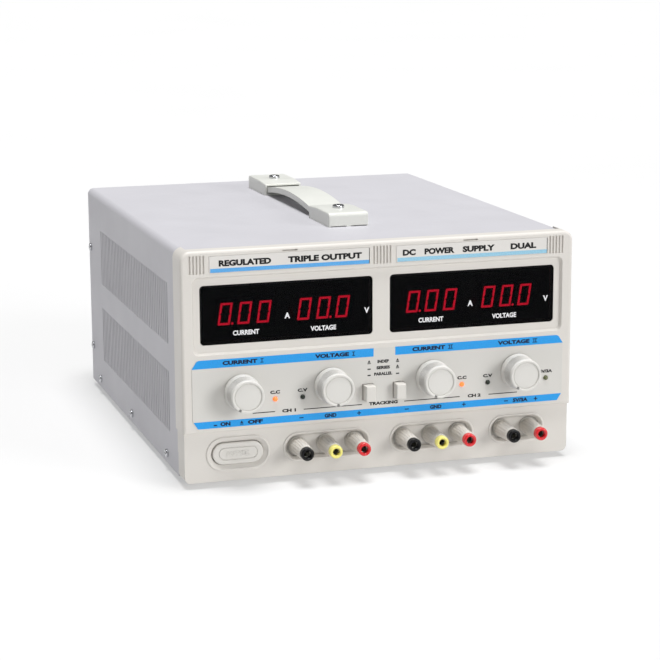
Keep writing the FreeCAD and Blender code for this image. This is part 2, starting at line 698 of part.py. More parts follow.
def case_screws():
    """Side screws of the cover, the fan's four screws and the inlet's two."""
    screws = []
    for side in (-1, 1):
        for y, z in SIDE_SCREWS:
            place = V(side * COVER_HALF_W, y, z)
            screws.append(pan_head_screw(2.8, 1.7, 1.5, 6, place, V(-side, 0, 0)))
    for x, z in fan_corners():
        screws.append(pan_head_screw(2.8, 1.7, 1.5, 20, V(x, REAR_FACE, z), V(0, -1, 0)))
    for x in (INLET_X - 20, INLET_X + 20):
        screws.append(pan_head_screw(2.6, 1.5, 1.4, 1.9, V(x, REAR_FACE + 2, SERVICE_Z), V(0, -1, 0)))
    return group(screws)


def rubber_feet():
    solids = []
    for x, y in FEET:
        foot = Part.makeCone(FOOT_R, FOOT_R + 1, FOOT_H + TRAY_FLOOR, V(x, y, -FOOT_H))
        well = rod_z(4.5, x, y, (-FOOT_H - 1, -1))
        solids.append(foot.cut([well, rod_z(2.1, x, y, (-2, 3))]))
    return group(solids)


# ---------------------------------------------------------------- handle
def handle_screw_y():
    half = HANDLE_LENGTH / 2 - HANDLE_SCREW_IN
    return (HANDLE_MID_Y - half, HANDLE_MID_Y + half)


def handle_cap():
    """The front end cap: it slopes down from its outer end to the mouth that holds the strap."""
    outer = HANDLE_MID_Y - HANDLE_LENGTH / 2
    mouth = outer + CAP_LENGTH
    base = COVER_TOP
    corners = [V(-CAP_HALF_W, outer, base), V(-CAP_HALF_W, mouth, base),
               V(-CAP_HALF_W, mouth, base + CAP_MOUTH_H), V(-CAP_HALF_W, mouth - 16, base + CAP_H),
               V(-CAP_HALF_W, outer, base + CAP_H)]
    cap = Part.Face(ring_wire(corners, (0, 0, 0.8, 20, 2.5))).extrude(V(2 * CAP_HALF_W, 0, 0))
    rails = [e for e in cap.Edges
             if e.BoundBox.XLength < 1e-6 and e.BoundBox.ZMin > base + CAP_H - 2.6]
    cap = cap.makeFillet(1.0, rails)
    slot = box((-STRAP_HALF_W - 0.3, STRAP_HALF_W + 0.3), (mouth - CAP_SLOT, mouth + 1),
               (base + 1.4, base + 6.9))
    reliefs = [box(x, (outer - 1, outer + 3), (base - 1, base + 0.6)) for x in ((-12.8, -1.5), (1.5, 12.8))]
    return cap.cut(reliefs + [slot, rod_z(2.2, 0, handle_screw_y()[0], (140, 170))])


def handle_caps():
    front = handle_cap()
    rear = front.mirror(V(0, HANDLE_MID_Y, 0), V(0, 1, 0))
    return group([front, rear])


def handle_strap():
    """A flat strap, bowed between the caps, with a straight tongue held in each."""
    low = COVER_TOP + STRAP_LIFT
    reach = HANDLE_LENGTH / 2 - CAP_LENGTH
    tongue = reach + CAP_SLOT - 3
    mid = HANDLE_MID_Y

    def line_at(z):
        rise = V(0, mid, z + STRAP_RISE)
        return V(0, mid - reach, z), rise, V(0, mid + reach, z)

    b0, b1, b2 = line_at(low)
    t0, t1, t2 = line_at(low + STRAP_T)
    end0, end1 = V(0, mid - tongue, low), V(0, mid + tongue, low)
    up = V(0, 0, STRAP_T)
    edges = [Part.LineSegment(end0, b0), Part.Arc(b0, b1, b2), Part.LineSegment(b2, end1),
             Part.LineSegment(end1, end1 + up), Part.LineSegment(end1 + up, t2), Part.Arc(t2, t1, t0),
             Part.LineSegment(t0, end0 + up), Part.LineSegment(end0 + up, end0)]
    face = Part.Face(Part.Wire([e.toShape() for e in edges]))
    face.translate(V(-STRAP_HALF_W, 0, 0))
    return face.extrude(V(2 * STRAP_HALF_W, 0, 0))


def handle_and_foot_screws():
    """One screw up through each foot, and one through each handle cap with its nut inside."""
    solids = [pan_head_screw(4.0, 2.2, 2.0, 9, V(x, y, -1), V(0, 0, 1)) for x, y in FEET]
    for y in handle_screw_y():
        solids.append(pan_head_screw(4.0, 2.2, 2.0, 15.5, V(0, y, COVER_TOP + CAP_H), V(0, 0, -1)))
        solids.append(hex_nut(7, 2.02, 0, y, COVER_TOP - SHEET - 3, V(0, 0, 3)))
    return group(solids)


# ---------------------------------------------------------------- inside the case
def sub_panel():
    back = SUB_PANEL_Y + SUB_PANEL_T
    half = SUB_PANEL_HALF_W
    low = TRAY_FLOOR + SHEET
    plate = box((-half, half), (SUB_PANEL_Y, back), (low, SUB_PANEL_TOP))
    foot = box((-half, half), (back - 0.5, 29), (low, low + SHEET))
    cuts = [rod_y(3.55, x, KNOB_Z, (10, 16)) for _, x, _ in KNOBS]
    cuts += [rod_y(6.5, x, POST_Z, (10, 16)) for _, x in post_places()]
    for _, x in TRACKING:
        cuts.append(box((x - 2, x + 2), (10, 16), (TRACKING_Z - 2, TRACKING_Z + 2)))
    cuts.append(box((POWER_X - 20, POWER_X + 20), (10, 40), (POWER_Z - 10.5, POWER_Z + 10.5)))
    cuts.append(box((POWER_X - 13, POWER_X + 13), (19, 40), (0, 10)))
    return fuse([plate, foot]).cut(cuts)


def circuit_boards():
    """Display board, control board and main board."""
    display = box((-127, 127), (13.4, 13.4 + BOARD_T), (83.5, 134))
    control = box((-126, 126), (CONTROL_BOARD_Y, CONTROL_BOARD_Y + BOARD_T), (46, 79))
    cuts = [rod_y(8, x, KNOB_Z, (8, 12)) for _, x, _ in KNOBS]
    for _, x in TRACKING:
        cuts.append(box((x - 5.2, x + 5.2), (8, 12), (TRACKING_Z - 7.3, TRACKING_Z + 7.3)))
    main = box((16, 126), (86, 236), (17, 17 + BOARD_T))
    return group([display, control.cut(cuts), main])


def filter_capacitors():
    """Electrolytic cans standing on the main board."""
    floor = 17 + BOARD_T
    cans = []
    for x, y, r, h in ((40, 112, 15, 50), (76, 112, 15, 50), (106, 106, 8, 30),
                       (40, 150, 15, 50), (76, 150, 11, 40), (104, 140, 8, 30)):
        can = rod_z(r, x, y, (floor, floor + h))
        top = [e for e in can.Edges if e.BoundBox.ZMin > floor + h - 1e-6]
        cans.append(can.makeFillet(1.5, top))
    return group(cans)


def transformer_core():
    """A stack of E and I sheets: outer frame and middle leg."""
    cx, cy = TRANSFORMER_MID
    w, d, h = CORE_SIZE
    low = TRAY_FLOOR + SHEET
    block = box((cx - w / 2, cx + w / 2), (cy - d / 2, cy + d / 2), (low, low + h))
    window_z = (low + CORE_LEG, low + h - CORE_LEG)
    through = (cy - d, cy + d)
    left = box((cx - w / 2 + CORE_LEG, cx - CORE_LEG), through, window_z)
    right = box((cx + CORE_LEG, cx + w / 2 - CORE_LEG), through, window_z)
    return block.cut([left, right])


def transformer_winding():
    """The wound bobbin around the middle leg, bulging in front of and behind the core."""
    cx, cy = TRANSFORMER_MID
    w, d, h = CORE_SIZE
    low = TRAY_FLOOR + SHEET
    gap = 0.5
    window = w / 2 - 2 * CORE_LEG
    z = (low + CORE_LEG + gap, low + h - CORE_LEG - gap)
    out_x = CORE_LEG + window - gap
    out_y = d / 2 + window - 1
    corners = [V(cx - out_x, cy - out_y, z[0]), V(cx + out_x, cy - out_y, z[0]),
               V(cx + out_x, cy + out_y, z[0]), V(cx - out_x, cy + out_y, z[0])]
    coil = Part.Face(ring_wire(corners, (9.0,) * 4)).extrude(V(0, 0, z[1] - z[0]))
    leg = box((cx - CORE_LEG - gap, cx + CORE_LEG + gap), (cy - d / 2 - gap, cy + d / 2 + gap), (0, 120))
    return coil.cut(leg)


# ---------------------------------------------------------------- rear side
def heat_sinks():
    """Two finned extrusions, one either side of the fan."""
    sinks = []
    for side in (-1, 1):
        x = sorted((side * SINK_X[0], side * SINK_X[1]))
        parts = [box(x, (REAR_FACE, REAR_FACE + SINK_BASE), SINK_Z)]
        step = (x[1] - x[0] - SINK_FIN_T) / (SINK_FINS - 1)
        fin_y = (REAR_FACE + SINK_BASE - 1, REAR_FACE + SINK_REACH)
        for i in range(SINK_FINS):
            fin = x[0] + i * step
            parts.append(box((fin, fin + SINK_FIN_T), fin_y, SINK_Z))
        sinks.append(fuse(parts))
    return group(sinks)


def fan_frame():
    back = REAR_FACE - REAR_SHEET
    front = back - FAN_DEPTH
    body = front_plate((-FAN_HALF, FAN_HALF), (FAN_Z - FAN_HALF, FAN_Z + FAN_HALF), (front, back), 4.0)
    body = body.cut(rod_y(38.0, 0, FAN_Z, (front - 1, back + 1)))
    hub = rod_y(17.0, 0, FAN_Z, (front, front + 3))
    struts = []
    for turn in (45, 135):
        strut = box((-39, 39), (front, front + 3), (FAN_Z - 2, FAN_Z + 2))
        strut.rotate(V(0, 0, FAN_Z), V(0, 1, 0), turn)
        struts.append(strut)
    holes = [rod_y(1.55, x, z, (front - 1, back + 1)) for x, z in fan_corners()]
    return fuse([body, hub] + struts).cut(holes)


def fan_rotor():
    """A hub with pitched blades."""
    back = REAR_FACE - REAR_SHEET - 1.5
    front = back - 19
    hub = rod_y(ROTOR_HUB_R, 0, 0, (front, back))
    blades = []
    for i in range(ROTOR_BLADES):
        blade = box((-1.0, 1.0), (-10.5, 10.5), (ROTOR_HUB_R - 2, ROTOR_R))
        blade.rotate(V(0, 0, 0), V(0, 0, 1), 48)
        blade.translate(V(0, (front + back) / 2, 0))
        blade.rotate(V(0, 0, 0), V(0, 1, 0), i * 360 / ROTOR_BLADES)
        blades.append(blade)
    rim = rod_y(ROTOR_R, 0, 0, (front, back))
    rotor = fuse([hub] + blades).common(rim)
    rotor.translate(V(0, 0, FAN_Z))
    return rotor


def inlet_socket():
    """The mains inlet: flange outside the panel, body inside, open cavity to the rear."""
    z = SERVICE_Z
    flange = front_plate((INLET_X - 24, INLET_X + 24), (z - 11.2, z + 11.2), (REAR_FACE, REAR_FACE + 2), 3.0)
    body = front_plate((INLET_X - 13.9, INLET_X + 13.9), (z - 10.1, z + 10.1),
                       (REAR_FACE - 19, REAR_FACE + 1), 2.0)
    cavity = front_plate((INLET_X - 12.2, INLET_X + 12.2), (z - 8.2, z + 8.2),
                         (REAR_FACE - 15, REAR_FACE + 3), (1.0, 1.0, 4.5, 4.5))
    holes = [rod_y(1.5, INLET_X + dx, z, REAR_CUT) for dx in (-20, 20)]
    return fuse([flange, body]).cut([cavity] + holes)


def inlet_pins():
    z = SERVICE_Z
    pins = []
    for dx, dz in ((-7, -2), (7, -2), (0, 2)):
        x = INLET_X + dx
        pins.append(box((x - 1, x + 1), (REAR_FACE - 15, REAR_FACE - 1), (z + dz - 2, z + dz + 2)))
    return group(pins)


def fuse_holder():
    z = SERVICE_Z
    collar = rod_y(8.5, FUSE_X, z, (REAR_FACE, REAR_FACE + 2))
    barrel = rod_y(6.2, FUSE_X, z, (REAR_FACE - 32, REAR_FACE + 1))
    bore = rod_y(4.4, FUSE_X, z, (REAR_FACE - 28, REAR_FACE + 3))
    return fuse([collar, barrel]).cut(bore)


def fuse_cap():
    """The turn-to-release cap with its spigot and a screwdriver slot."""
    z = SERVICE_Z
    back = REAR_FACE + 9
    cap = rod_y(6.8, FUSE_X, z, (REAR_FACE + 2.1, back))
    rim = [e for e in cap.Edges if e.BoundBox.YMin > back - 1e-6]
    cap = cap.makeFillet(0.8, rim)
    spigot = rod_y(4.35, FUSE_X, z, (REAR_FACE - 12, REAR_FACE + 3))
    slot = box((FUSE_X - 4.5, FUSE_X + 4.5), (back - 1.2, back + 1), (z - 0.6, z + 0.6))
    return cap.fuse(spigot).removeSplitter().cut(slot)


# ---------------------------------------------------------------- writing the nodes
def all_nodes():
    nodes = {
        "front_bezel": front_bezel(),
        "display_window_left": display_window(-1),
        "display_window_right": display_window(1),
        "name_strips": name_strips(),
        "control_overlay": control_overlay(),
        "current_lamps": lamps(CURRENT_LED_X),
        "voltage_lamps": lamps(VOLTAGE_LED_X),
        "digit_modules": digit_modules(),
        "circuit_boards": circuit_boards(),
        "potentiometers": potentiometers(),
        "tracking_switches": tracking_switches(),
        "power_button": power_button(),
        "power_switch": power_switch(),
        "post_stems": post_stems(),
        "post_bases": post_bases(),
        "sub_panel": sub_panel(),
        "top_cover": top_cover(),
        "base_tray": base_tray(),
        "rear_panel": rear_panel(),
        "case_screws": case_screws(),
        "rubber_feet": rubber_feet(),
        "handle_caps": handle_caps(),
        "handle_strap": handle_strap(),
        "handle_and_foot_screws": handle_and_foot_screws(),
        "transformer_core": transformer_core(),
        "transformer_winding": transformer_winding(),
        "filter_capacitors": filter_capacitors(),
        "heat_sinks": heat_sinks(),
        "fan_frame": fan_frame(),
        "fan_rotor": fan_rotor(),
        "inlet_socket": inlet_socket(),
        "inlet_pins": inlet_pins(),
        "fuse_holder": fuse_holder(),
        "fuse_cap": fuse_cap(),
    }
    for name, x, pointer in KNOBS:
        nodes[f"knob_{name}"] = knob(x, pointer)
        nodes[f"shaft_{name}"] = pot_shaft(x)
    for name, x in TRACKING:
        nodes[f"tracking_button_{name}"] = tracking_button(x)
    for name, x in post_places():
        nodes[f"post_nut_{name}"] = post_nut(x)
        nodes[f"post_tip_{name}"] = post_tip(x)
    return nodes


def write(nodes):
    os.makedirs("parts", exist_ok=True)
    for name, shape in nodes.items():
        shape.translate(CASE_TO_PART)
        shape.exportStep(f"parts/{name}.step")
        print(name, len(shape.Solids), "solids", round(shape.Volume / 1000, 2), "cm3", shape.isValid())


write(all_nodes())
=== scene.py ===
import json
import math
import bpy
from mathutils import Matrix, Vector


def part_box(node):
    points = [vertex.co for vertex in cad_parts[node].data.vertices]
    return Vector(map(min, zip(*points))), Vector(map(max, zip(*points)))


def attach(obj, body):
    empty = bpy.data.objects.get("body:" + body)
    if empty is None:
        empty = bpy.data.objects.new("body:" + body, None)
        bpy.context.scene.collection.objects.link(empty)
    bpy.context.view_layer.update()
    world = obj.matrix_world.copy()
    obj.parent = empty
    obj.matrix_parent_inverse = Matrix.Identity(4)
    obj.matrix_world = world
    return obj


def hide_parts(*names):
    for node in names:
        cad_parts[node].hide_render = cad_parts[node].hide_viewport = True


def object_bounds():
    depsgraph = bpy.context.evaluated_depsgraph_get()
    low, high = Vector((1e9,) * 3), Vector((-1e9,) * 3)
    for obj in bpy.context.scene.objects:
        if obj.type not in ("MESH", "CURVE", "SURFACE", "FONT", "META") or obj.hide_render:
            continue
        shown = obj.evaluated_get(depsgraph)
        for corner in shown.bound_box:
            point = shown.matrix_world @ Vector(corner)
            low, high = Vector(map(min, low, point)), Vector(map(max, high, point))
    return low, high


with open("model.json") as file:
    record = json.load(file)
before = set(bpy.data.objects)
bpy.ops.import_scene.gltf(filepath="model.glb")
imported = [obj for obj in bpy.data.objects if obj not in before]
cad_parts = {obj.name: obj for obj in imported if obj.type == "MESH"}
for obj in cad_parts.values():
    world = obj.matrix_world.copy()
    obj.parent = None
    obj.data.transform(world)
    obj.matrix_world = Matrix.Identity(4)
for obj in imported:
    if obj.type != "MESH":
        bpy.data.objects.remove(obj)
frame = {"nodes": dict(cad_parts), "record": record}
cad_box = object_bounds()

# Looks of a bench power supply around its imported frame. Scene lengths are metres; the sizes
# below are millimetres and are turned into metres by MM where a piece is placed.
MM = 0.001

# Camera, as seen from the object: degrees and millimetres
VIEW_AZIMUTH = -17.3
VIEW_ELEVATION = 11.93
VIEW_ROLL = -0.29
VIEW_DISTANCE = 1305.0
VIEW_TARGET = (-35.2, -163.5, 98.4)
LENS_MM = 111.44
SENSOR_MM = 36.0

# Light: each sun's strength, where it comes from, and its width in degrees
WORLD_STRENGTH = 0.2
SUNS = {"overhead": (3.45, (0.0, -0.05, 1.0), 28.0), "key": (1.45, (0.8, -1.0, 0.35), 24.0)}
FLOOR_HALF_M = 40.0
FLOOR_GLOW = 0.38

# Prints: the ink's thickness, the gap under it, how far letters are fattened as a share of the
# type's size, and the angle in degrees from which an edge stays sharp
PRINT_T = 0.016
PRINT_GAP = 0.012
BOLD = 0.058
PLAIN = 0.034
PRINT_SHARP = 20.0


def srgb(red, green, blue):
    """A screen colour from 0 to 255, as linear light with alpha."""
    def linear(value):
        share = value / 255
        return share / 12.92 if share <= 0.04045 else ((share + 0.055) / 1.055) ** 2.4
    return linear(red), linear(green), linear(blue), 1.0


def shade(colour, factor):
    """The colour made lighter or darker by a factor."""
    return tuple(min(1.0, channel * factor) for channel in colour[:3]) + (1.0,)


# ---------------------------------------------------------------- materials
class Surface:
    """One procedural material around a Principled shader. Its patterns run in object space, in metres."""

    def __init__(self, name, **sockets):
        self.material = bpy.data.materials.new(name)
        self.material.use_nodes = True
        self.tree = self.material.node_tree
        self.shader = next(n for n in self.tree.nodes if n.type == "BSDF_PRINCIPLED")
        self.place = self.add("ShaderNodeTexCoord").outputs["Object"]
        for socket, value in sockets.items():
            self.shader.inputs[socket.replace("_", " ")].default_value = value

    def add(self, kind, inputs=None, **settings):
        node = self.tree.nodes.new(kind)
        for key, value in settings.items():
            setattr(node, key, value)
        for key, value in (inputs or {}).items():
            if isinstance(value, bpy.types.NodeSocket):
                self.tree.links.new(value, node.inputs[key])
            else:
                node.inputs[key].default_value = value
        return node

    def drive(self, socket, output):
        self.tree.links.new(output, self.shader.inputs[socket])

    def stretched(self, scale):
        return self.add("ShaderNodeMapping", {"Vector": self.place, "Scale": scale}).outputs["Vector"]

    def noise(self, scale, detail=2.0, roughness=0.5, along=None):
        where = self.stretched(along) if along else self.place
        inputs = {"Vector": where, "Scale": scale, "Detail": detail, "Roughness": roughness}
        return self.add("ShaderNodeTexNoise", inputs).outputs["Fac"]

    def mapped(self, value, low, high, to_low, to_high):
        inputs = {"Value": value, "From Min": low, "From Max": high, "To Min": to_low, "To Max": to_high}
        return self.add("ShaderNodeMapRange", inputs).outputs["Result"]

    def math(self, operation, a, b):
        return self.add("ShaderNodeMath", {0: a, 1: b}, operation=operation).outputs[0]

    def mixed(self, factor, a, b):
        node = self.add("ShaderNodeMix", data_type="RGBA")
        for index, value in ((0, factor), (6, a), (7, b)):
            if isinstance(value, bpy.types.NodeSocket):
                self.tree.links.new(value, node.inputs[index])
            else:
                node.inputs[index].default_value = value
        return node.outputs[2]

    def edges(self, radius):
        """About 0 on flat ground and up to 1 along outer and inner edges, from the rounded normal."""
        self.rounded = self.add("ShaderNodeBevel", {"Radius": radius * MM}, samples=4).outputs["Normal"]
        flat = self.add("ShaderNodeNewGeometry").outputs["Normal"]
        dot = self.add("ShaderNodeVectorMath", {0: self.rounded, 1: flat}, operation="DOT_PRODUCT")
        return self.mapped(dot.outputs["Value"], 1.0, 0.8, 0.0, 1.0)

    def bump(self, height, distance, strength=1.0, normal=None):
        inputs = {"Height": height, "Distance": distance * MM, "Strength": strength}
        if normal is not None:
            inputs["Normal"] = normal
        return self.add("ShaderNodeBump", inputs).outputs["Normal"]


# Name of the mesh attribute that is 1 where shade is painted in, such as in the valleys of a knurl and the
# pointer notch
CREVICE_SHADE = "crevice_shade"


def moulded(name, colour, rough=(0.36, 0.46), grain=0.012, edge_radius=0.35, edge_highlight=0.5, crevice_shade=0.0, **sockets):
    """Injection-moulded plastic: fine grain, slow colour drift, edges lighter as a painted highlight,
    painted shade where marked.
    """
    s = Surface(name, **sockets)
    drift = s.noise(14.0, 3.0)
    body = s.mixed(s.mapped(drift, 0.3, 0.7, 0.0, 1.0), shade(colour, 0.975), shade(colour, 1.02))
    speck = s.mapped(s.noise(2600.0, 1.0), 0.35, 0.7, 0.0, 0.05)
    body = s.mixed(speck, body, shade(colour, 0.7))
    # Painted highlight: the colour is lighter in patches along edges.
    edge = s.math("MULTIPLY", s.edges(edge_radius), s.mapped(s.noise(90.0, 3.0), 0.4, 0.65, 0.0, edge_highlight * 0.3))
    body = s.mixed(edge, body, shade(colour, 1.12))
    # Painted shade: darker where the mesh marks its crevices, the knurl valleys and the pointer notch.
    if crevice_shade:
        marked = s.add("ShaderNodeAttribute", attribute_name=CREVICE_SHADE).outputs["Fac"]
        body = s.mixed(s.math("MULTIPLY", marked, crevice_shade), body, shade(colour, 0.3))
    s.drive("Base Color", body)
    gloss = s.mapped(s.noise(55.0, 4.0), 0.3, 0.7, rough[0], rough[1])
    s.drive("Roughness", gloss)
    coarse = s.bump(s.noise(450.0, 2.0), grain * 1.5, 0.5, s.rounded)
    s.drive("Normal", s.bump(s.noise(3200.0, 2.0), grain, 0.8, coarse))
    return s.material


def powder_coat(name, colour):
    """Baked enamel on sheet: orange peel, a few fine scuffs, and edges made brighter as a painted highlight.
    """
    s = Surface(name, Specular_IOR_Level=0.2)
    drift = s.noise(7.0, 3.0)
    body = s.mixed(s.mapped(drift, 0.3, 0.7, 0.0, 1.0), shade(colour, 0.985), shade(colour, 1.012))
    speck = s.mapped(s.noise(1900.0, 1.0), 0.4, 0.75, 0.0, 0.05)
    body = s.mixed(speck, body, shade(colour, 0.75))
    scuffs = s.mapped(s.noise(60.0, 8.0, 0.7, along=(1.0, 9.0, 1.0)), 0.62, 0.72, 0.0, 0.10)
    body = s.mixed(scuffs, body, shade(colour, 1.1))
    # Painted highlight: the colour is lighter in patches along edges.
    edge = s.math("MULTIPLY", s.edges(0.45), s.mapped(s.noise(70.0, 4.0), 0.42, 0.7, 0.0, 0.22))
    s.drive("Base Color", s.mixed(edge, body, shade(colour, 1.15)))
    s.drive("Roughness", s.mapped(s.noise(38.0, 4.0), 0.3, 0.7, 0.44, 0.56))
    peel = s.bump(s.noise(620.0, 1.5), 0.02, 0.55, s.rounded)
    s.drive("Normal", s.bump(s.noise(2400.0, 2.0), 0.006, 0.5, peel))
    return s.material


def metal(name, colour, rough=(0.22, 0.36), lay=(1.0, 1.0, 30.0), metallic=1.0):
    """Plated or machined metal, with fine marks drawn out across the axis that lay stretches."""
    s = Surface(name, Metallic=metallic)
    marks = s.noise(260.0, 6.0, 0.65, along=lay)
    tone = s.mapped(s.noise(45.0, 4.0), 0.3, 0.7, 0.0, 1.0)
    body = s.mixed(tone, shade(colour, 0.86), shade(colour, 1.08))
    # Painted highlight: the colour is lighter along edges.
    edge = s.math("MULTIPLY", s.edges(0.2), 0.35)
    s.drive("Base Color", s.mixed(edge, body, shade(colour, 1.3)))
    s.drive("Roughness", s.mapped(marks, 0.3, 0.7, rough[0], rough[1]))
    s.drive("Normal", s.bump(marks, 0.006, 0.6, s.rounded))
    return s.material


def zinc_sheet(name, colour):
    """Zinc-plated sheet with a faint crystal spangle."""
    s = Surface(name, Metallic=0.85)
    cells = s.add("ShaderNodeTexVoronoi", {"Vector": s.place, "Scale": 130.0})
    grey = s.add("ShaderNodeSeparateColor", {"Color": cells.outputs["Color"]}).outputs[0]
    body = s.mixed(grey, shade(colour, 0.85), shade(colour, 1.1))
    # Painted highlight: the colour is lighter along edges.
    edge = s.math("MULTIPLY", s.edges(0.3), 0.4)
    s.drive("Base Color", s.mixed(edge, body, shade(colour, 1.3)))
    s.drive("Roughness", s.mapped(grey, 0.0, 1.0, 0.34, 0.48))
    s.drive("Normal", s.bump(s.noise(300.0, 3.0), 0.01, 0.5, s.rounded))
    return s.material


def tinted_window(name):
    """Smoked acrylic over the displays, with a faint haze of wiping marks."""
    s = Surface(name, Alpha=0.8, IOR=1.49, Specular_IOR_Level=0.05)
    wipe = s.noise(20.0, 6.0, 0.6, along=(1.0, 1.0, 5.0))
    s.drive("Base Color", s.mixed(wipe, srgb(1, 1, 2), srgb(3, 3, 5)))
    s.drive("Roughness", s.mapped(wipe, 0.35, 0.7, 0.05, 0.13))
    s.drive("Normal", s.bump(s.noise(35.0, 1.0), 0.01, 0.3))
    return s.material


def glowing(name, colour, glow, strength):
    """A lit lens or segment whose light is a little uneven."""
    s = Surface(name, Roughness=0.25)
    uneven = s.mapped(s.noise(900.0, 2.0), 0.3, 0.7, 0.0, 1.0)
    s.drive("Base Color", s.mixed(uneven, shade(colour, 0.8), colour))
    s.drive("Emission Color", s.mixed(uneven, shade(glow, 0.72), glow))
    s.shader.inputs["Emission Strength"].default_value = strength
    s.drive("Normal", s.bump(s.noise(1500.0, 1.0), 0.01, 0.3))
    return s.material


# In metres from the middle: between the second voltage lamp and the fixed output's lamp
FIXED_LAMP_X = 0.1


def unlit_lamps(name, dark, olive):
    """Tinted lenses without current: the voltage lamps look dark, the fixed output's lamp olive."""
    s = Surface(name, IOR=1.5)
    across = s.add("ShaderNodeSeparateXYZ", {"Vector": s.place}).outputs["X"]
    colour = s.mixed(s.math("GREATER_THAN", across, FIXED_LAMP_X), dark, olive)
    s.drive("Base Color", s.mixed(s.mapped(s.noise(900.0), 0.3, 0.7, 0.0, 0.3), colour, srgb(60, 66, 50)))
    s.drive("Roughness", s.mapped(s.noise(400.0), 0.3, 0.7, 0.16, 0.24))
    s.drive("Normal", s.bump(s.noise(1500.0, 1.0), 0.01, 0.3))
    return s.material


def ink(name, colour):
    """Screen-printed ink with a slightly mottled edge-to-edge density."""
    s = Surface(name, Specular_IOR_Level=0.3)
    dense = s.mapped(s.noise(1300.0, 3.0), 0.3, 0.7, 0.0, 1.0)
    s.drive("Base Color", s.mixed(dense, shade(colour, 0.9), shade(colour, 1.06)))
    s.drive("Roughness", s.mapped(s.noise(300.0, 2.0), 0.3, 0.7, 0.38, 0.52))
    s.drive("Normal", s.bump(s.noise(2800.0, 1.0), 0.004, 0.5))
    return s.material


def rubber(name, colour):
    """Matt black rubber with dust in its pores."""
    s = Surface(name, Sheen_Weight=0.15, Sheen_Roughness=0.5)
    dust = s.mapped(s.noise(120.0, 6.0, 0.65), 0.5, 0.75, 0.0, 0.35)
    s.drive("Base Color", s.mixed(dust, colour, shade(colour, 3.0)))
    s.drive("Roughness", s.mapped(s.noise(200.0, 3.0), 0.3, 0.7, 0.6, 0.8))
    s.edges(0.5)
    s.drive("Normal", s.bump(s.noise(1800.0, 3.0), 0.03, 0.7, s.rounded))
    return s.material


def striped(name, light, dark, pitch, along, width=0.5, rough=(0.4, 0.6), metallic=0.0, depth=0.05):
    """A surface made of thin layers or turns, such as laminations, tape or wound wire."""
    s = Surface(name, Metallic=metallic)
    axis = s.add("ShaderNodeSeparateXYZ", {"Vector": s.place}).outputs[along]
    turns = s.math("DIVIDE", axis, pitch * MM)
    wander = s.mapped(s.noise(80.0, 3.0), 0.0, 1.0, -0.25, 0.25)
    saw = s.math("PINGPONG", s.math("ADD", turns, wander), 0.5)
    face = s.mapped(saw, 0.5 - width / 2, 0.5, 0.0, 1.0)
    blotch = s.mapped(s.noise(60.0, 4.0), 0.35, 0.7, 0.0, 0.6)
    s.drive("Base Color", s.mixed(blotch, s.mixed(face, dark, light), shade(light, 0.8)))
    s.drive("Roughness", s.mapped(s.noise(150.0, 3.0), 0.3, 0.7, rough[0], rough[1]))
    s.drive("Normal", s.bump(face, depth, 0.8))
    return s.material


def circuit_board(name):
    """Solder mask with copper runs showing through it and rows of tinned pads."""
    s = Surface(name, Specular_IOR_Level=0.6)
    runs = s.add("ShaderNodeTexBrick", {"Vector": s.stretched((1.0, 1.0, 1.0)), "Scale": 70.0,
                                        "Mortar Size": 0.06, "Color1": srgb(13, 92, 48),
                                        "Color2": srgb(10, 78, 40), "Mortar": srgb(24, 120, 66)})
    pads = s.add("ShaderNodeTexVoronoi", {"Vector": s.place, "Scale": 210.0}).outputs["Distance"]
    tinned = s.mapped(pads, 0.12, 0.10, 0.0, 1.0)
    s.drive("Base Color", s.mixed(tinned, runs.outputs["Color"], srgb(190, 188, 180)))
    s.drive("Roughness", s.mapped(s.noise(300.0, 3.0), 0.3, 0.7, 0.25, 0.4))
    s.drive("Normal", s.bump(runs.outputs["Fac"], 0.04, 0.6))
    return s.material


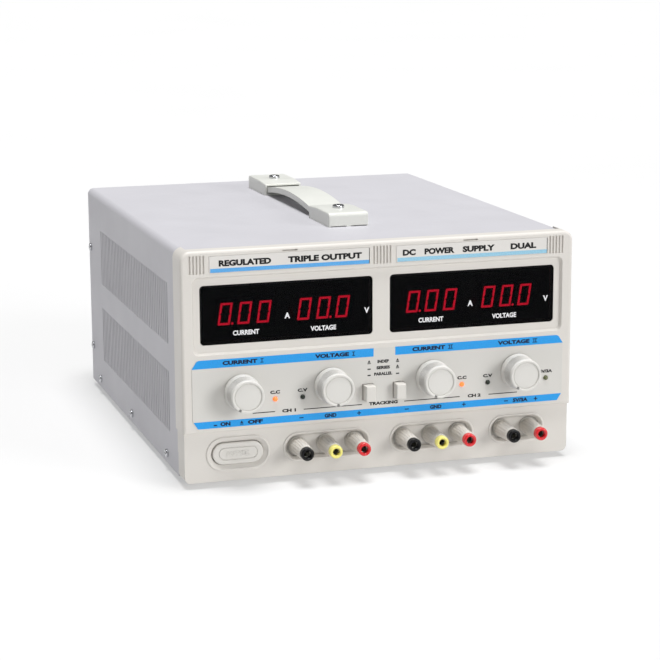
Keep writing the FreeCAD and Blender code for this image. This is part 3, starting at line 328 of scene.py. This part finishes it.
def make_materials():
    """One material for each slot of the record, and the inks."""
    bezel = srgb(217, 213, 207)
    return {
        "bezel_plastic": moulded("bezel_plastic", bezel, Specular_IOR_Level=0.3),
        "cover_paint": powder_coat("cover_paint", srgb(197, 196, 201)),
        "panel_paint": powder_coat("panel_paint", srgb(196, 196, 200)),
        "zinc_steel": zinc_sheet("zinc_steel", srgb(178, 180, 184)),
        "window": tinted_window("window"),
        # The strip and the overlay get only a faint painted highlight along their edges.
        "strip": moulded("strip", srgb(219, 216, 212), rough=(0.3, 0.38), grain=0.004, edge_highlight=0.1),
        "overlay": moulded("overlay", srgb(210, 208, 203), rough=(0.32, 0.4), grain=0.006, edge_highlight=0.1),
        "lamp_orange": glowing("lamp_orange", srgb(230, 120, 60), srgb(255, 122, 58), 1.1),
        "lamp_green": unlit_lamps("lamp_green", srgb(20, 32, 24), srgb(108, 112, 78)),
        "display_black": moulded("display_black", srgb(10, 10, 11), rough=(0.5, 0.6)),
        "board": circuit_board("board"),
        "pot_metal": metal("pot_metal", srgb(168, 168, 162)),
        "switch_black": moulded("switch_black", srgb(24, 24, 26)),
        "button_plastic": moulded("button_plastic", srgb(216, 213, 207), rough=(0.34, 0.42),
                                  edge_radius=0.6),
        # Knobs get full painted shade in their knurl valleys and pointer notch.
        "knob_plastic": moulded("knob_plastic", srgb(217, 215, 210), edge_radius=0.15, crevice_shade=1.0),
        "shaft_metal": metal("shaft_metal", srgb(190, 190, 192), lay=(1.0, 25.0, 1.0)),
        "stem_metal": metal("stem_metal", srgb(205, 203, 196), lay=(1.0, 25.0, 1.0)),
        "post_insulator": moulded("post_insulator", srgb(200, 197, 190)),
        "nut_grey": moulded("nut_grey", srgb(211, 206, 198), rough=(0.38, 0.48), edge_radius=0.4),
        "tip_black": moulded("tip_black", srgb(12, 12, 14), rough=(0.3, 0.4), grain=0.003,
                             Specular_IOR_Level=0.25),
        "tip_yellow": moulded("tip_yellow", srgb(244, 234, 128), rough=(0.2, 0.3), grain=0.003,
                              Coat_Weight=0.4),
        "tip_red": moulded("tip_red", srgb(214, 26, 34), rough=(0.16, 0.26), grain=0.003,
                           Coat_Weight=0.4),
        "screw_metal": metal("screw_metal", srgb(196, 197, 200), rough=(0.14, 0.26)),
        "rubber": rubber("rubber", srgb(38, 38, 40)),
        "handle_plastic": moulded("handle_plastic", srgb(222, 223, 217), rough=(0.3, 0.4), edge_radius=0.4),
        "strap_plastic": moulded("strap_plastic", srgb(221, 222, 216), rough=(0.34, 0.44), grain=0.03),
        "core_steel": striped("core_steel", srgb(92, 90, 88), srgb(36, 34, 32), 0.5, "Y", metallic=0.6),
        "winding": striped("winding", srgb(222, 190, 92), srgb(160, 128, 48), 6.0, "Z", width=0.96),
        "can": striped("can", srgb(30, 38, 78), srgb(24, 30, 64), 20.0, "Z", rough=(0.25, 0.35), depth=0.01),
        "sink": metal("sink", srgb(34, 34, 36), rough=(0.34, 0.5), metallic=0.7),
        "fan_black": moulded("fan_black", srgb(26, 26, 28), rough=(0.3, 0.4)),
        "inlet_black": moulded("inlet_black", srgb(22, 22, 24), rough=(0.34, 0.44)),
        "pin_metal": metal("pin_metal", srgb(204, 198, 182), lay=(1.0, 25.0, 1.0)),
        "ink_blue": ink("ink_blue", srgb(36, 156, 232)),
        "ink_sky": ink("ink_sky", srgb(92, 168, 228)),
        "ink_pale_blue": ink("ink_pale_blue", srgb(150, 200, 224)),
        "ink_navy": ink("ink_navy", srgb(4, 18, 52)),
        "ink_black": ink("ink_black", srgb(12, 12, 14)),
        "ink_white": ink("ink_white", srgb(238, 238, 240)),
        "segment_lit": glowing("segment_lit", srgb(150, 16, 36), srgb(255, 24, 58), 12.0),
        "segment_off": moulded("segment_off", srgb(22, 12, 13), rough=(0.4, 0.5), grain=0.002),
    }


MATERIALS = make_materials()


def finish_cad_nodes():
    """Every CAD node takes the material of its slot in the record."""
    for part in frame["record"]["subparts"]:
        mesh = frame["nodes"][part["node"]].data
        mesh.materials.clear()
        mesh.materials.append(MATERIALS[part["material_slot"]])


# ---------------------------------------------------------------- mesh helpers
def anticlockwise(corners):
    """The same outline, turned round if it runs clockwise."""
    area = sum(a[0] * b[1] - b[0] * a[1] for a, b in zip(corners, corners[1:] + corners[:1]))
    return corners if area > 0 else corners[::-1]


def new_piece(name, points, faces, material, body="root", sharp=35.0):
    """A mesh from points in metres, smooth up to the sharp angle, riding on a CAD body."""
    mesh = bpy.data.meshes.new(name)
    mesh.from_pydata([tuple(p) for p in points], [], faces)
    mesh.validate()
    mesh.polygons.foreach_set("use_smooth", [True] * len(mesh.polygons))
    mesh.set_sharp_from_angle(angle=math.radians(sharp))
    mesh.materials.append(MATERIALS[material])
    piece = bpy.data.objects.new(name, mesh)
    bpy.context.scene.collection.objects.link(piece)
    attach(piece, body)
    return piece


class Prints:
    """Collects flat prints of one ink, as thin closed solids facing the front, in one piece."""

    def __init__(self, face_y):
        self.points = []
        self.faces = []
        self.front = face_y - (PRINT_GAP + PRINT_T) * MM
        self.back = face_y - PRINT_GAP * MM

    def outline(self, corners):
        """A polygon given anticlockwise as seen from the front, by (x, z) in metres."""
        count, start = len(corners), len(self.points)
        self.points += [Vector((x, self.front, z)) for x, z in corners]
        self.points += [Vector((x, self.back, z)) for x, z in corners]
        ring = list(range(start, start + count))
        self.faces.append(tuple(ring))
        self.faces.append(tuple(i + count for i in reversed(ring)))
        for i in range(count):
            a, b = ring[i], ring[(i + 1) % count]
            self.faces.append((a, a + count, b + count, b))

    def bar(self, x0, x1, z0, z1):
        self.outline([(x0, z0), (x1, z0), (x1, z1), (x0, z1)])

    def words(self, text, x, z, weight=BOLD):
        """Lettering that fills the span x and the height z, each a pair in metres."""
        curve = bpy.data.curves.new("lettering", "FONT")
        curve.body = text
        curve.resolution_u = 3
        curve.offset = weight
        curve.extrude = 0.5
        shape = bpy.data.objects.new("lettering", curve)
        bpy.context.scene.collection.objects.link(shape)
        bpy.context.view_layer.update()
        filled = shape.evaluated_get(bpy.context.evaluated_depsgraph_get())
        mesh = bpy.data.meshes.new_from_object(filled)
        xs = [v.co.x for v in mesh.vertices]
        ys = [v.co.y for v in mesh.vertices]
        left, low = min(xs), min(ys)
        wide, high = max(xs) - left, max(ys) - low
        start = len(self.points)
        for vertex in mesh.vertices:
            across = x[0] + (vertex.co.x - left) / wide * (x[1] - x[0])
            up = z[0] + (vertex.co.y - low) / high * (z[1] - z[0])
            depth = self.front if vertex.co.z > 0 else self.back
            self.points.append(Vector((across, depth, up)))
        self.faces += [tuple(start + i for i in face.vertices) for face in mesh.polygons]
        bpy.data.objects.remove(shape)
        bpy.data.curves.remove(curve)
        bpy.data.meshes.remove(mesh)

    def piece(self, name, material, body="root", slot=None):
        new_piece(name, self.points, self.faces, material, body, sharp=PRINT_SHARP)


class Panel:
    """Millimetres on a front-facing CAD node: x from its middle or left edge, z from its foot."""

    def __init__(self, node, from_left=False):
        low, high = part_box(node)
        self.x0 = low.x if from_left else (low.x + high.x) / 2
        self.z0 = low.z
        self.face_y = low.y
        self.width = (high.x - low.x) / MM

    def x(self, value):
        return self.x0 + value * MM

    def z(self, value):
        return self.z0 + value * MM

    def span_x(self, start, end):
        return self.x(start), self.x(end)

    def span_z(self, start, end):
        return self.z(start), self.z(end)


# ---------------------------------------------------------------- control overlay prints
# Heights are from the overlay's lower edge, and places across are from its middle
OVERLAY_CUT = (3.5, 5.5)
TOP_BAND = (39.0, 44.5)
LOW_BAND = (0.0, 4.6)
TOP_BAND_GAP = (-5.9, 8.8)
BAND_EASE = 1.8

# Words of the upper bands: left end, right end, and the channel's number after them
CAP_Z = 40.5
CAP_H = 2.7
QUANTITY_WORDS = (("CURRENT", -106.4, -83.6, 1), ("VOLTAGE", -45.5, -22.6, 1),
                  ("CURRENT", 20.5, 43.2, 2), ("VOLTAGE", 80.0, 102.6, 2))
NUMERAL_GAP = 2.0
STROKE_PITCH = 1.35
STROKE_T = 0.5
STROKE_INSET = 1.05
SERIF_H = 0.45

# Words and signs of the lower band
POST_WORD_Z = (1.0, 3.6)
POST_WORDS = (("ON", -108.4, -101.8), ("OFF", -90.4, -80.5), ("GND", -39.2, -31.2),
              ("GND", 32.9, 40.9), ("5V/3A", 91.2, 101.8))
MINUS_X = (-54.8, 16.8, 86.4)
PLUS_X = (-15.9, 56.6, 107.5)
POWER_IN_X = -111.6
POWER_OUT_X = -94.4
POWER_SIGN_Z = 1.3
SIGN_T = 0.6
PLUS_REACH = 1.3
MINUS_REACH = 1.4

# Words over the lamps, at the tracking buttons and in the channel lines
LAMP_WORD_Z = (19.4, 21.6)
LAMP_WORDS = (("C.C", -75.4, -68.9), ("C.V", -57.2, -50.6), ("C.C", 51.8, 58.3),
              ("C.V", 69.9, 76.5), ("5V/3A", 109.9, 119.1))
MODE_MIDDLE = 0.6
MODE_WORDS = (("INDEP", 3.9), ("SERIES", 4.6), ("PARALLEL", 6.2))
MODE_TOP_Z = 34.4
MODE_PITCH = 4.1
MODE_H = 2.1
MODE_SIGN_X = (-9.0, 10.4)
CHANNEL_WORD_Z = (6.7, 8.9)
CHANNEL_WORDS = (("TRACKING", -9.1, 10.6), ("CH 1", -67.6, -58.4), ("CH 2", 59.2, 68.4))
CHANNEL_RULES = ((-87.1, -72.3), (-53.2, -13.9), (15.0, 53.6), (73.9, 94.1))
CHANNEL_RULE_Z = (7.5, 8.05)


def eased(before, corner, after, reach, steps=5):
    """Points that round off a corner, from reach before it to reach after it."""
    before, corner, after = Vector(before), Vector(corner), Vector(after)
    start = corner + (before - corner).normalized() * reach
    end = corner + (after - corner).normalized() * reach
    turn = [i / steps for i in range(steps + 1)]
    return [tuple((1 - t) ** 2 * start + 2 * t * (1 - t) * corner + t ** 2 * end) for t in turn]


def overlay_bands(panel):
    """Two upper bands and one lower band, whose outer ends follow the overlay's cut corners."""
    prints = Prints(panel.face_y)
    half = panel.width / 2
    cut_x, cut_z = OVERLAY_CUT
    low, high = TOP_BAND
    x, z = panel.x, panel.z
    for side, gap_x in ((-1, TOP_BAND_GAP[0]), (1, TOP_BAND_GAP[1])):
        foot = (x(side * half), z(low))
        inner_top = (x(gap_x), z(high))
        shoulder = eased(foot, (x(side * (half - cut_x)), z(high)), inner_top, BAND_EASE * MM)
        prints.outline(anticlockwise([foot] + shoulder + [inner_top, (x(gap_x), z(low))]))
    slope = cut_x * (cut_z - LOW_BAND[1]) / cut_z
    prints.outline([(x(-half + cut_x), z(LOW_BAND[0])), (x(half - cut_x), z(LOW_BAND[0])),
                    (x(half - slope), z(LOW_BAND[1])), (x(-half + slope), z(LOW_BAND[1]))])
    prints.piece("overlay_bands", "ink_blue")


def roman_numeral(prints, panel, x, z, strokes):
    """One or two upright strokes between two serif bars, x being the left edge."""
    width = STROKE_PITCH * (strokes - 1) + 2 * STROKE_INSET
    for i in range(strokes):
        middle = x + STROKE_INSET + i * STROKE_PITCH
        stroke = panel.span_x(middle - STROKE_T / 2, middle + STROKE_T / 2)
        prints.bar(*stroke, *panel.span_z(z, z + CAP_H))
    for bar_z in (z, z + CAP_H - SERIF_H):
        prints.bar(*panel.span_x(x, x + width), *panel.span_z(bar_z, bar_z + SERIF_H))


def minus_sign(prints, panel, x, z, reach=MINUS_REACH):
    """One level bar with its middle at x and z."""
    half = SIGN_T / 2
    prints.bar(*panel.span_x(x - reach, x + reach), *panel.span_z(z - half, z + half))


def plus_sign(prints, panel, x, z):
    """A cross of one level bar and two upright ones that meet it."""
    half, reach = SIGN_T / 2, PLUS_REACH
    minus_sign(prints, panel, x, z, reach)
    prints.bar(*panel.span_x(x - half, x + half), *panel.span_z(z + half, z + reach))
    prints.bar(*panel.span_x(x - half, x + half), *panel.span_z(z - reach, z - half))


def button_out(prints, panel, x, z):
    """The mark for a button that stands out: a triangle on a short bar."""
    prints.bar(*panel.span_x(x - 1.1, x + 1.1), *panel.span_z(z - 0.2, z + 0.35))
    prints.outline([(panel.x(x - 1.0), panel.z(z + 0.7)), (panel.x(x + 1.0), panel.z(z + 0.7)),
                    (panel.x(x), panel.z(z + 2.4))])


def button_in(prints, panel, x, z):
    """The mark for a button that is pressed in: a short bar."""
    prints.bar(*panel.span_x(x - 1.1, x + 1.1), *panel.span_z(z + 0.1, z + 0.9))


def band_lettering(panel):
    """Dark words on the blue bands."""
    prints = Prints(panel.face_y - (PRINT_GAP + PRINT_T) * MM)
    for word, start, end, strokes in QUANTITY_WORDS:
        prints.words(word, panel.span_x(start, end), panel.span_z(CAP_Z, CAP_Z + CAP_H))
        roman_numeral(prints, panel, end + NUMERAL_GAP, CAP_Z, strokes)
    button_in(prints, panel, POWER_IN_X, POWER_SIGN_Z)
    for word, start, end in POST_WORDS:
        prints.words(word, panel.span_x(start, end), panel.span_z(*POST_WORD_Z))
    button_out(prints, panel, POWER_OUT_X, POWER_SIGN_Z)
    middle = sum(POST_WORD_Z) / 2
    for x in MINUS_X:
        minus_sign(prints, panel, x, middle)
    for x in PLUS_X:
        plus_sign(prints, panel, x, middle)
    prints.piece("overlay_band_lettering", "ink_navy")


def panel_lettering(panel):
    """Black words and rules on the pale part of the overlay."""
    prints = Prints(panel.face_y)
    for word, start, end in LAMP_WORDS:
        prints.words(word, panel.span_x(start, end), panel.span_z(*LAMP_WORD_Z))
    for row, (word, half) in enumerate(MODE_WORDS):
        z = MODE_TOP_Z - row * MODE_PITCH
        across = panel.span_x(MODE_MIDDLE - half, MODE_MIDDLE + half)
        prints.words(word, across, panel.span_z(z, z + MODE_H))
        left_sign = button_in if row else button_out
        right_sign = button_in if row == 2 else button_out
        left_sign(prints, panel, MODE_SIGN_X[0], z)
        right_sign(prints, panel, MODE_SIGN_X[1], z)
    for word, start, end in CHANNEL_WORDS:
        prints.words(word, panel.span_x(start, end), panel.span_z(*CHANNEL_WORD_Z))
    for start, end in CHANNEL_RULES:
        prints.bar(*panel.span_x(start, end), *panel.span_z(*CHANNEL_RULE_Z))
    prints.piece("overlay_lettering", "ink_black")


# ---------------------------------------------------------------- windows and name strips
# Words on a window: left and right end from its left edge, foot and head from its lower edge.
# On the right window they all stand a little further left.
WINDOW_WORDS = (("CURRENT", 21.2, 38.4, 5.1, 8.3), ("VOLTAGE", 72.4, 89.4, 4.5, 7.7),
                ("A", 55.2, 58.8, 13.9, 17.7), ("V", 108.4, 111.8, 13.9, 17.7))
WINDOW_SHIFT = {"left": 0.0, "right": -1.6}

# Digits: where each group of three starts from the window's left edge, and the digit that the
# decimal point follows
DIGIT_GROUPS = {"current": (12.2, 0), "voltage": (64.4, 1)}
DIGITS = 3
DIGIT_Z = 11.4
DIGIT_W = 8.0
DIGIT_H = 14.2
DIGIT_PITCH = 12.75
DIGIT_SLANT = math.tan(math.radians(9.0))
SEGMENT_T = 1.4
SEGMENT_GAP = 0.1
SEGMENT_RELIEF = 0.12
POINT_R = 0.8
POINT_GAP = 1.5
POINT_SIDES = 12

# Name strips: places across are from the middle between the two strips
STRIP_INNER = (-8.6, 9.2)
STRIP_RULE_Z = (0.2, 2.7)
STRIP_LINE_Z = (0.3, 10.3)
STRIP_WORD_Z = (3.9, 7.9)
STRIP_WORDS = (("REGULATED", -108.0, -74.0), ("TRIPLE OUTPUT", -63.0, -14.0), ("DC", 13.6, 22.4),
               ("POWER", 28.4, 49.0), ("SUPPLY", 54.6, 77.0), ("DUAL", 88.0, 106.0))


def window_lettering(side, panel):
    """White words on a window, under and beside its digits."""
    prints = Prints(panel.face_y)
    shift = WINDOW_SHIFT[side]
    for word, start, end, low, high in WINDOW_WORDS:
        prints.words(word, panel.span_x(start + shift, end + shift), panel.span_z(low, high), PLAIN)
    prints.piece(f"window_lettering_{side}", "ink_white")


def segment_outlines():
    """The bars of one digit from its lower left corner: the six of a nought, and the middle one."""
    w, h, t, g = DIGIT_W, DIGIT_H, SEGMENT_T, SEGMENT_GAP
    mid = h / 2
    top = [(g, h), (t + g, h - t), (w - t - g, h - t), (w - g, h)]
    bottom = [(g, 0), (w - g, 0), (w - t - g, t), (t + g, t)]
    upper = [(0, h - g), (0, mid + g), (t / 2, mid + g), (t, mid + t / 2 + g), (t, h - t - g)]
    lower = [(0, g), (t, t + g), (t, mid - t / 2 - g), (t / 2, mid - g), (0, mid - g)]
    right_upper = [(w - x, z) for x, z in reversed(upper)]
    right_lower = [(w - x, z) for x, z in reversed(lower)]
    middle = [(t / 2 + g, mid), (t + g, mid - t / 2), (w - t - g, mid - t / 2), (w - t / 2 - g, mid),
              (w - t - g, mid + t / 2), (t + g, mid + t / 2)]
    return [top, bottom, upper, lower, right_upper, right_lower], middle


def decimal_point():
    """A small disc at the foot of a digit, to its right."""
    turn = [2 * math.pi * i / POINT_SIDES for i in range(POINT_SIDES)]
    middle_x = DIGIT_W + POINT_GAP
    return [(middle_x + POINT_R * math.cos(a), POINT_R + POINT_R * math.sin(a)) for a in turn]


def display_digits(side, quantity, panel, face_y):
    """Three noughts with one decimal point, standing slightly proud of the display block."""
    start, point_after = DIGIT_GROUPS[quantity]
    lit, unlit = Prints(face_y), Prints(face_y)
    for prints in (lit, unlit):
        prints.front = face_y - SEGMENT_RELIEF * MM
    ring, middle = segment_outlines()

    def put(prints, corners, left):
        leaned = [(panel.x(left + x + z * DIGIT_SLANT), panel.z(DIGIT_Z + z)) for x, z in corners]
        prints.outline(anticlockwise(leaned))

    for digit in range(DIGITS):
        left = start + digit * DIGIT_PITCH
        for bar in ring:
            put(lit, bar, left)
        put(unlit, middle, left)
        put(lit if digit == point_after else unlit, decimal_point(), left)
    lit.piece(f"digits_lit_{quantity}_{side}", "segment_lit")
    unlit.piece(f"digits_unlit_{quantity}_{side}", "segment_off")


def displays():
    """Each window's lettering, and the digits on the blocks behind it."""
    face_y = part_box("digit_modules")[0].y
    for side in WINDOW_SHIFT:
        panel = Panel(f"display_window_{side}", from_left=True)
        window_lettering(side, panel)
        for quantity in DIGIT_GROUPS:
            display_digits(side, quantity, panel, face_y)


def name_strips():
    """A blue rule along the foot of each strip, a dark line at its right end and generic words."""
    panel = Panel("name_strips")
    black, blue, pale = (Prints(panel.face_y) for _ in range(3))
    half = panel.width / 2
    left_end, right_start = STRIP_INNER
    blue.bar(*panel.span_x(-half + 0.6, left_end - 0.4), *panel.span_z(*STRIP_RULE_Z))
    pale.bar(*panel.span_x(right_start + 0.8, half - 0.6), *panel.span_z(*STRIP_RULE_Z))
    for end in (left_end, half):
        black.bar(*panel.span_x(end - 0.55, end - 0.15), *panel.span_z(*STRIP_LINE_Z))
    for word, start, end in STRIP_WORDS:
        black.words(word, panel.span_x(start, end), panel.span_z(*STRIP_WORD_Z))
    black.piece("strip_lettering", "ink_black")
    blue.piece("strip_rule_left", "ink_sky")
    pale.piece("strip_rule_right", "ink_pale_blue")


# ---------------------------------------------------------------- knobs
# Where each knob's pointer stands, in degrees clockwise from straight down as seen from the front
POINTER_ANGLES = {"current_left": 33.0, "voltage_left": 2.0, "current_right": 20.0,
                  "voltage_right": 36.0}

# The knob's side runs from the rim to the skirt. Depths are from its front face.
KNURL_COLUMNS = 112
KNURL_DEPTH = 0.55
KNURL_START = 2.2
KNURL_END = 11.6
KNURL_SHARP = 9.0
RIM_INSET = 1.1
SIDE_INSET = 0.3
SKIRT_H = 2.0
NOTCH_INNER_R = 8.95
NOTCH_DEPTH = 0.75

# The inset disc and the groove round it, from the middle out to the rim: radius and depth
DISC_PROFILE = ((0.0, 0.62), (4.0, 0.64), (7.9, 0.7), (8.35, 0.74), (8.5, 1.0), (8.75, 1.0),
                (8.9, 0.55), (9.05, 0.2), (9.4, 0.04), (9.7, 0.0))


def knob_rings(base_r, length):
    """Radius and depth of each ring, the knurled ones being those from first to last."""
    rim_r = base_r - RIM_INSET
    side_r = base_r - SIDE_INSET

    def side(depth):
        return rim_r + (side_r - rim_r) * depth / (length - SKIRT_H), depth

    rim = [(rim_r - 0.55, 0.02), (rim_r - 0.22, 0.14), (rim_r - 0.05, 0.36), side(0.75), side(1.6)]
    front = list(DISC_PROFILE) + rim
    step = 2 * math.pi * side_r / KNURL_COLUMNS
    rows = int((KNURL_END - KNURL_START) / step)
    knurl = [side(KNURL_START + i * step) for i in range(rows + 1)]
    skirt = [side(KNURL_START + rows * step + 0.5), (side_r, length - 2.3),
             (base_r - 0.02, length - SKIRT_H), (base_r, length - 1.6), (base_r, length - 0.3),
             (base_r - 0.25, length), (3.3, length)]
    return front + knurl + skirt, len(front), len(front) + len(knurl)


def knob_points(rings, first, last, centre, turn):
    """The middle of the face, then every ring in turn, and how much painted shade each point gets."""
    x, front, z = centre
    points = [Vector((x, front + rings[0][1] * MM, z))]
    shade_marks = [0.0]
    for j, (radius, depth) in enumerate(rings[1:], 1):
        for i in range(KNURL_COLUMNS):
            around = turn + 2 * math.pi * i / KNURL_COLUMNS
            valley = first < j < last - 1 and (i + j) % 2 == 1
            out = radius - KNURL_DEPTH if valley else radius
            by_pointer = min(i, KNURL_COLUMNS - i) <= 1
            notched = by_pointer and radius > NOTCH_INNER_R and j < first - 1
            deep = max(depth, NOTCH_DEPTH) if notched else depth
            points.append(Vector((x + out * math.cos(around) * MM, front + deep * MM,
                                  z + out * math.sin(around) * MM)))
            # Knurl valleys and the pointer notch are marked for painted shade.
            shade_marks.append(1.0 if valley or deep > depth else 0.0)
    return points, shade_marks


def knob_faces(ring_count, first, last):
    """Triangles to the middle, quads between rings, and diamonds on the knurl."""
    def index(j, i):
        return 1 + (j - 1) * KNURL_COLUMNS + i % KNURL_COLUMNS

    faces = [(0, index(1, i), index(1, i + 1)) for i in range(KNURL_COLUMNS)]
    for j in range(1, ring_count - 1):
        for i in range(KNURL_COLUMNS):
            a, b, c, d = index(j, i), index(j, i + 1), index(j + 1, i + 1), index(j + 1, i)
            if not first <= j < last - 1:
                faces.append((a, d, c, b))
            elif (i + j) % 2:
                faces += [(a, d, b), (b, d, c)]
            else:
                faces += [(a, d, c), (a, c, b)]
    faces.append(tuple(index(ring_count - 1, i) for i in range(KNURL_COLUMNS)))
    return [tuple(reversed(face)) for face in faces]


def knob(name):
    """A tapered knob with a diamond knurl, a raised rim, an inset disc and a pointer notch."""
    low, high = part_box(f"knob_{name}")
    rings, first, last = knob_rings((high.x - low.x) / 2 / MM, (high.y - low.y) / MM)
    centre = ((low.x + high.x) / 2, low.y, (low.z + high.z) / 2)
    turn = math.radians(-90.0 - POINTER_ANGLES[name])
    points, shade_marks = knob_points(rings, first, last, centre, turn)
    faces = knob_faces(len(rings), first, last)
    piece = new_piece(f"knob_{name}_knurled", points, faces, "knob_plastic", f"knob_{name}",
                      KNURL_SHARP)
    # The painted-shade marks go on the mesh as a point attribute.
    mark = piece.data.attributes.new(CREVICE_SHADE, "FLOAT", "POINT")
    mark.data.foreach_set("value", shade_marks)
    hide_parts(f"knob_{name}")


# ---------------------------------------------------------------- beads on the lower field
POST_GROUPS = {"left": ("minus", "ground", "plus"), "right": ("minus", "ground", "plus"),
               "fixed": ("minus", "plus")}

# How far the lower field lies behind the upper one, and the size of each bead's stadium: that
# of a pocket is wider than its row of nuts, and that of the power button wider and higher
LOWER_SETBACK = 2.5
POCKET_OVER = 7.7
POCKET_H = 17.8
POWER_OVER = (4.3, 3.7)

# Across the bead, outwards and into the bezel; its foot is sunk in the bezel's face
BEAD_PROFILE = ((-0.85, 0.2), (-0.75, -0.35), (-0.4, -0.7), (0.4, -0.7), (0.75, -0.35), (0.85, 0.2))
BEAD_STEPS = 24
BEAD_SHARP = 60.0


def bead(name, x, z, width, height, face_y):
    """A raised line round a stadium on the bezel's face; middle, width and height in millimetres."""
    radius = height / 2
    reach = width / 2 - radius
    points, faces = [], []
    turns = [(side, math.pi * i / BEAD_STEPS) for side in (1, -1) for i in range(BEAD_STEPS + 1)]
    for side, angle in turns:
        around = angle - side * math.pi / 2
        across, up = math.cos(around), math.sin(around)
        for out, deep in BEAD_PROFILE:
            points.append(Vector(((x + side * reach + (radius + out) * across) * MM, face_y + deep * MM,
                                  (z + (radius + out) * up) * MM)))
    count, ring = len(BEAD_PROFILE), len(turns)
    for i in range(ring):
        for k in range(count):
            here, after = i * count, (i + 1) % ring * count
            k_after = (k + 1) % count
            faces.append((here + k, here + k_after, after + k_after, after + k))
    new_piece(name, points, faces, "bezel_plastic", sharp=BEAD_SHARP)


def beads():
    """A bead round each pocket of binding posts and one round the power button."""
    face_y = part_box("front_bezel")[0].y + LOWER_SETBACK * MM
    for group, names in POST_GROUPS.items():
        corners = [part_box(f"post_nut_{group}_{pole}") for pole in names]
        left = min(low.x for low, _ in corners) / MM
        right = max(high.x for _, high in corners) / MM
        middle_z = sum(low.z + high.z for low, high in corners) / 2 / len(corners) / MM
        width = right - left + POCKET_OVER
        bead(f"pocket_bead_{group}", (left + right) / 2, middle_z, width, POCKET_H, face_y)
    low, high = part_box("power_button")
    bead("power_bead", (low.x + high.x) / 2 / MM, (low.z + high.z) / 2 / MM,
         (high.x - low.x) / MM + POWER_OVER[0], (high.z - low.z) / MM + POWER_OVER[1], face_y)


# ---------------------------------------------------------------- power button mark
POWER_WORD_HALF_W = 8.0
POWER_WORD_HALF_H = 1.6
POWER_WORD_RELIEF = 0.1
POWER_WORD_ROOT = 0.05


def power_mark():
    """The word in low relief on the power button, in the button's own plastic."""
    low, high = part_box("power_button")
    panel = Panel("power_button")
    prints = Prints(low.y)
    prints.front = low.y - POWER_WORD_RELIEF * MM
    prints.back = low.y + POWER_WORD_ROOT * MM
    middle = (high.z - low.z) / 2 / MM
    prints.words("POWER", panel.span_x(-POWER_WORD_HALF_W, POWER_WORD_HALF_W),
                 panel.span_z(middle - POWER_WORD_HALF_H, middle + POWER_WORD_HALF_H))
    prints.piece("power_button_word", "button_plastic", "power_button", "button_plastic")


# ---------------------------------------------------------------- camera, light and floor
def add_camera():
    """A plain camera at the chosen azimuth and elevation, rolled about its own axis."""
    azimuth, elevation = math.radians(VIEW_AZIMUTH), math.radians(VIEW_ELEVATION)
    back = Vector((math.sin(azimuth) * math.cos(elevation), -math.cos(azimuth) * math.cos(elevation),
                   math.sin(elevation)))
    data = bpy.data.cameras.new("camera")
    data.lens = LENS_MM
    data.sensor_width = SENSOR_MM
    data.clip_start, data.clip_end = 0.05, 200.0
    camera = bpy.data.objects.new("camera", data)
    bpy.context.scene.collection.objects.link(camera)
    camera.location = Vector(VIEW_TARGET) * MM + back * VIEW_DISTANCE * MM
    turn = (-back).to_track_quat("-Z", "Y").to_matrix() @ Matrix.Rotation(math.radians(VIEW_ROLL), 3, "Z")
    camera.rotation_mode = "QUATERNION"
    camera.rotation_quaternion = turn.to_quaternion()
    bpy.context.scene.camera = camera


def add_light():
    """A weak white surround, a broad sun overhead and a softer one from the front right."""
    world = bpy.data.worlds.new("studio")
    bpy.context.scene.world = world
    world.use_nodes = True
    sky = next(n for n in world.node_tree.nodes if n.type == "BACKGROUND")
    sky.inputs["Color"].default_value = (1.0, 1.0, 1.0, 1.0)
    sky.inputs["Strength"].default_value = WORLD_STRENGTH
    for name, (strength, comes_from, angle) in SUNS.items():
        sun = bpy.data.lights.new(name, "SUN")
        sun.energy = strength
        sun.angle = math.radians(angle)
        lamp = bpy.data.objects.new(name, sun)
        bpy.context.scene.collection.objects.link(lamp)
        lamp.rotation_mode = "QUATERNION"
        lamp.rotation_quaternion = Vector(comes_from).to_track_quat("Z", "Y")


def add_floor():
    """A wide pale floor under the feet, which glows a little so that its shadows stay light."""
    surface = Surface("floor_white", Roughness=0.9, Specular_IOR_Level=0.1,
                      Emission_Strength=FLOOR_GLOW, Emission_Color=(1.0, 1.0, 1.0, 1.0))
    surface.drive("Base Color", surface.mixed(surface.noise(3.0), srgb(176, 176, 176), srgb(180, 180, 180)))
    mesh = bpy.data.meshes.new("floor")
    half, level = FLOOR_HALF_M, cad_box[0].z
    corners = [(-half, -half, level), (half, -half, level), (half, half, level), (-half, half, level)]
    mesh.from_pydata(corners, [], [(0, 1, 2, 3)])
    mesh.materials.append(surface.material)
    floor = bpy.data.objects.new("floor", mesh)
    bpy.context.scene.collection.objects.link(floor)


finish_cad_nodes()
overlay = Panel("control_overlay")
overlay_bands(overlay)
band_lettering(overlay)
panel_lettering(overlay)
displays()
name_strips()
for knob_name in POINTER_ANGLES:
    knob(knob_name)
beads()
power_mark()
add_camera()
add_light()
add_floor()
bpy.context.scene.view_settings.view_transform = "Standard"
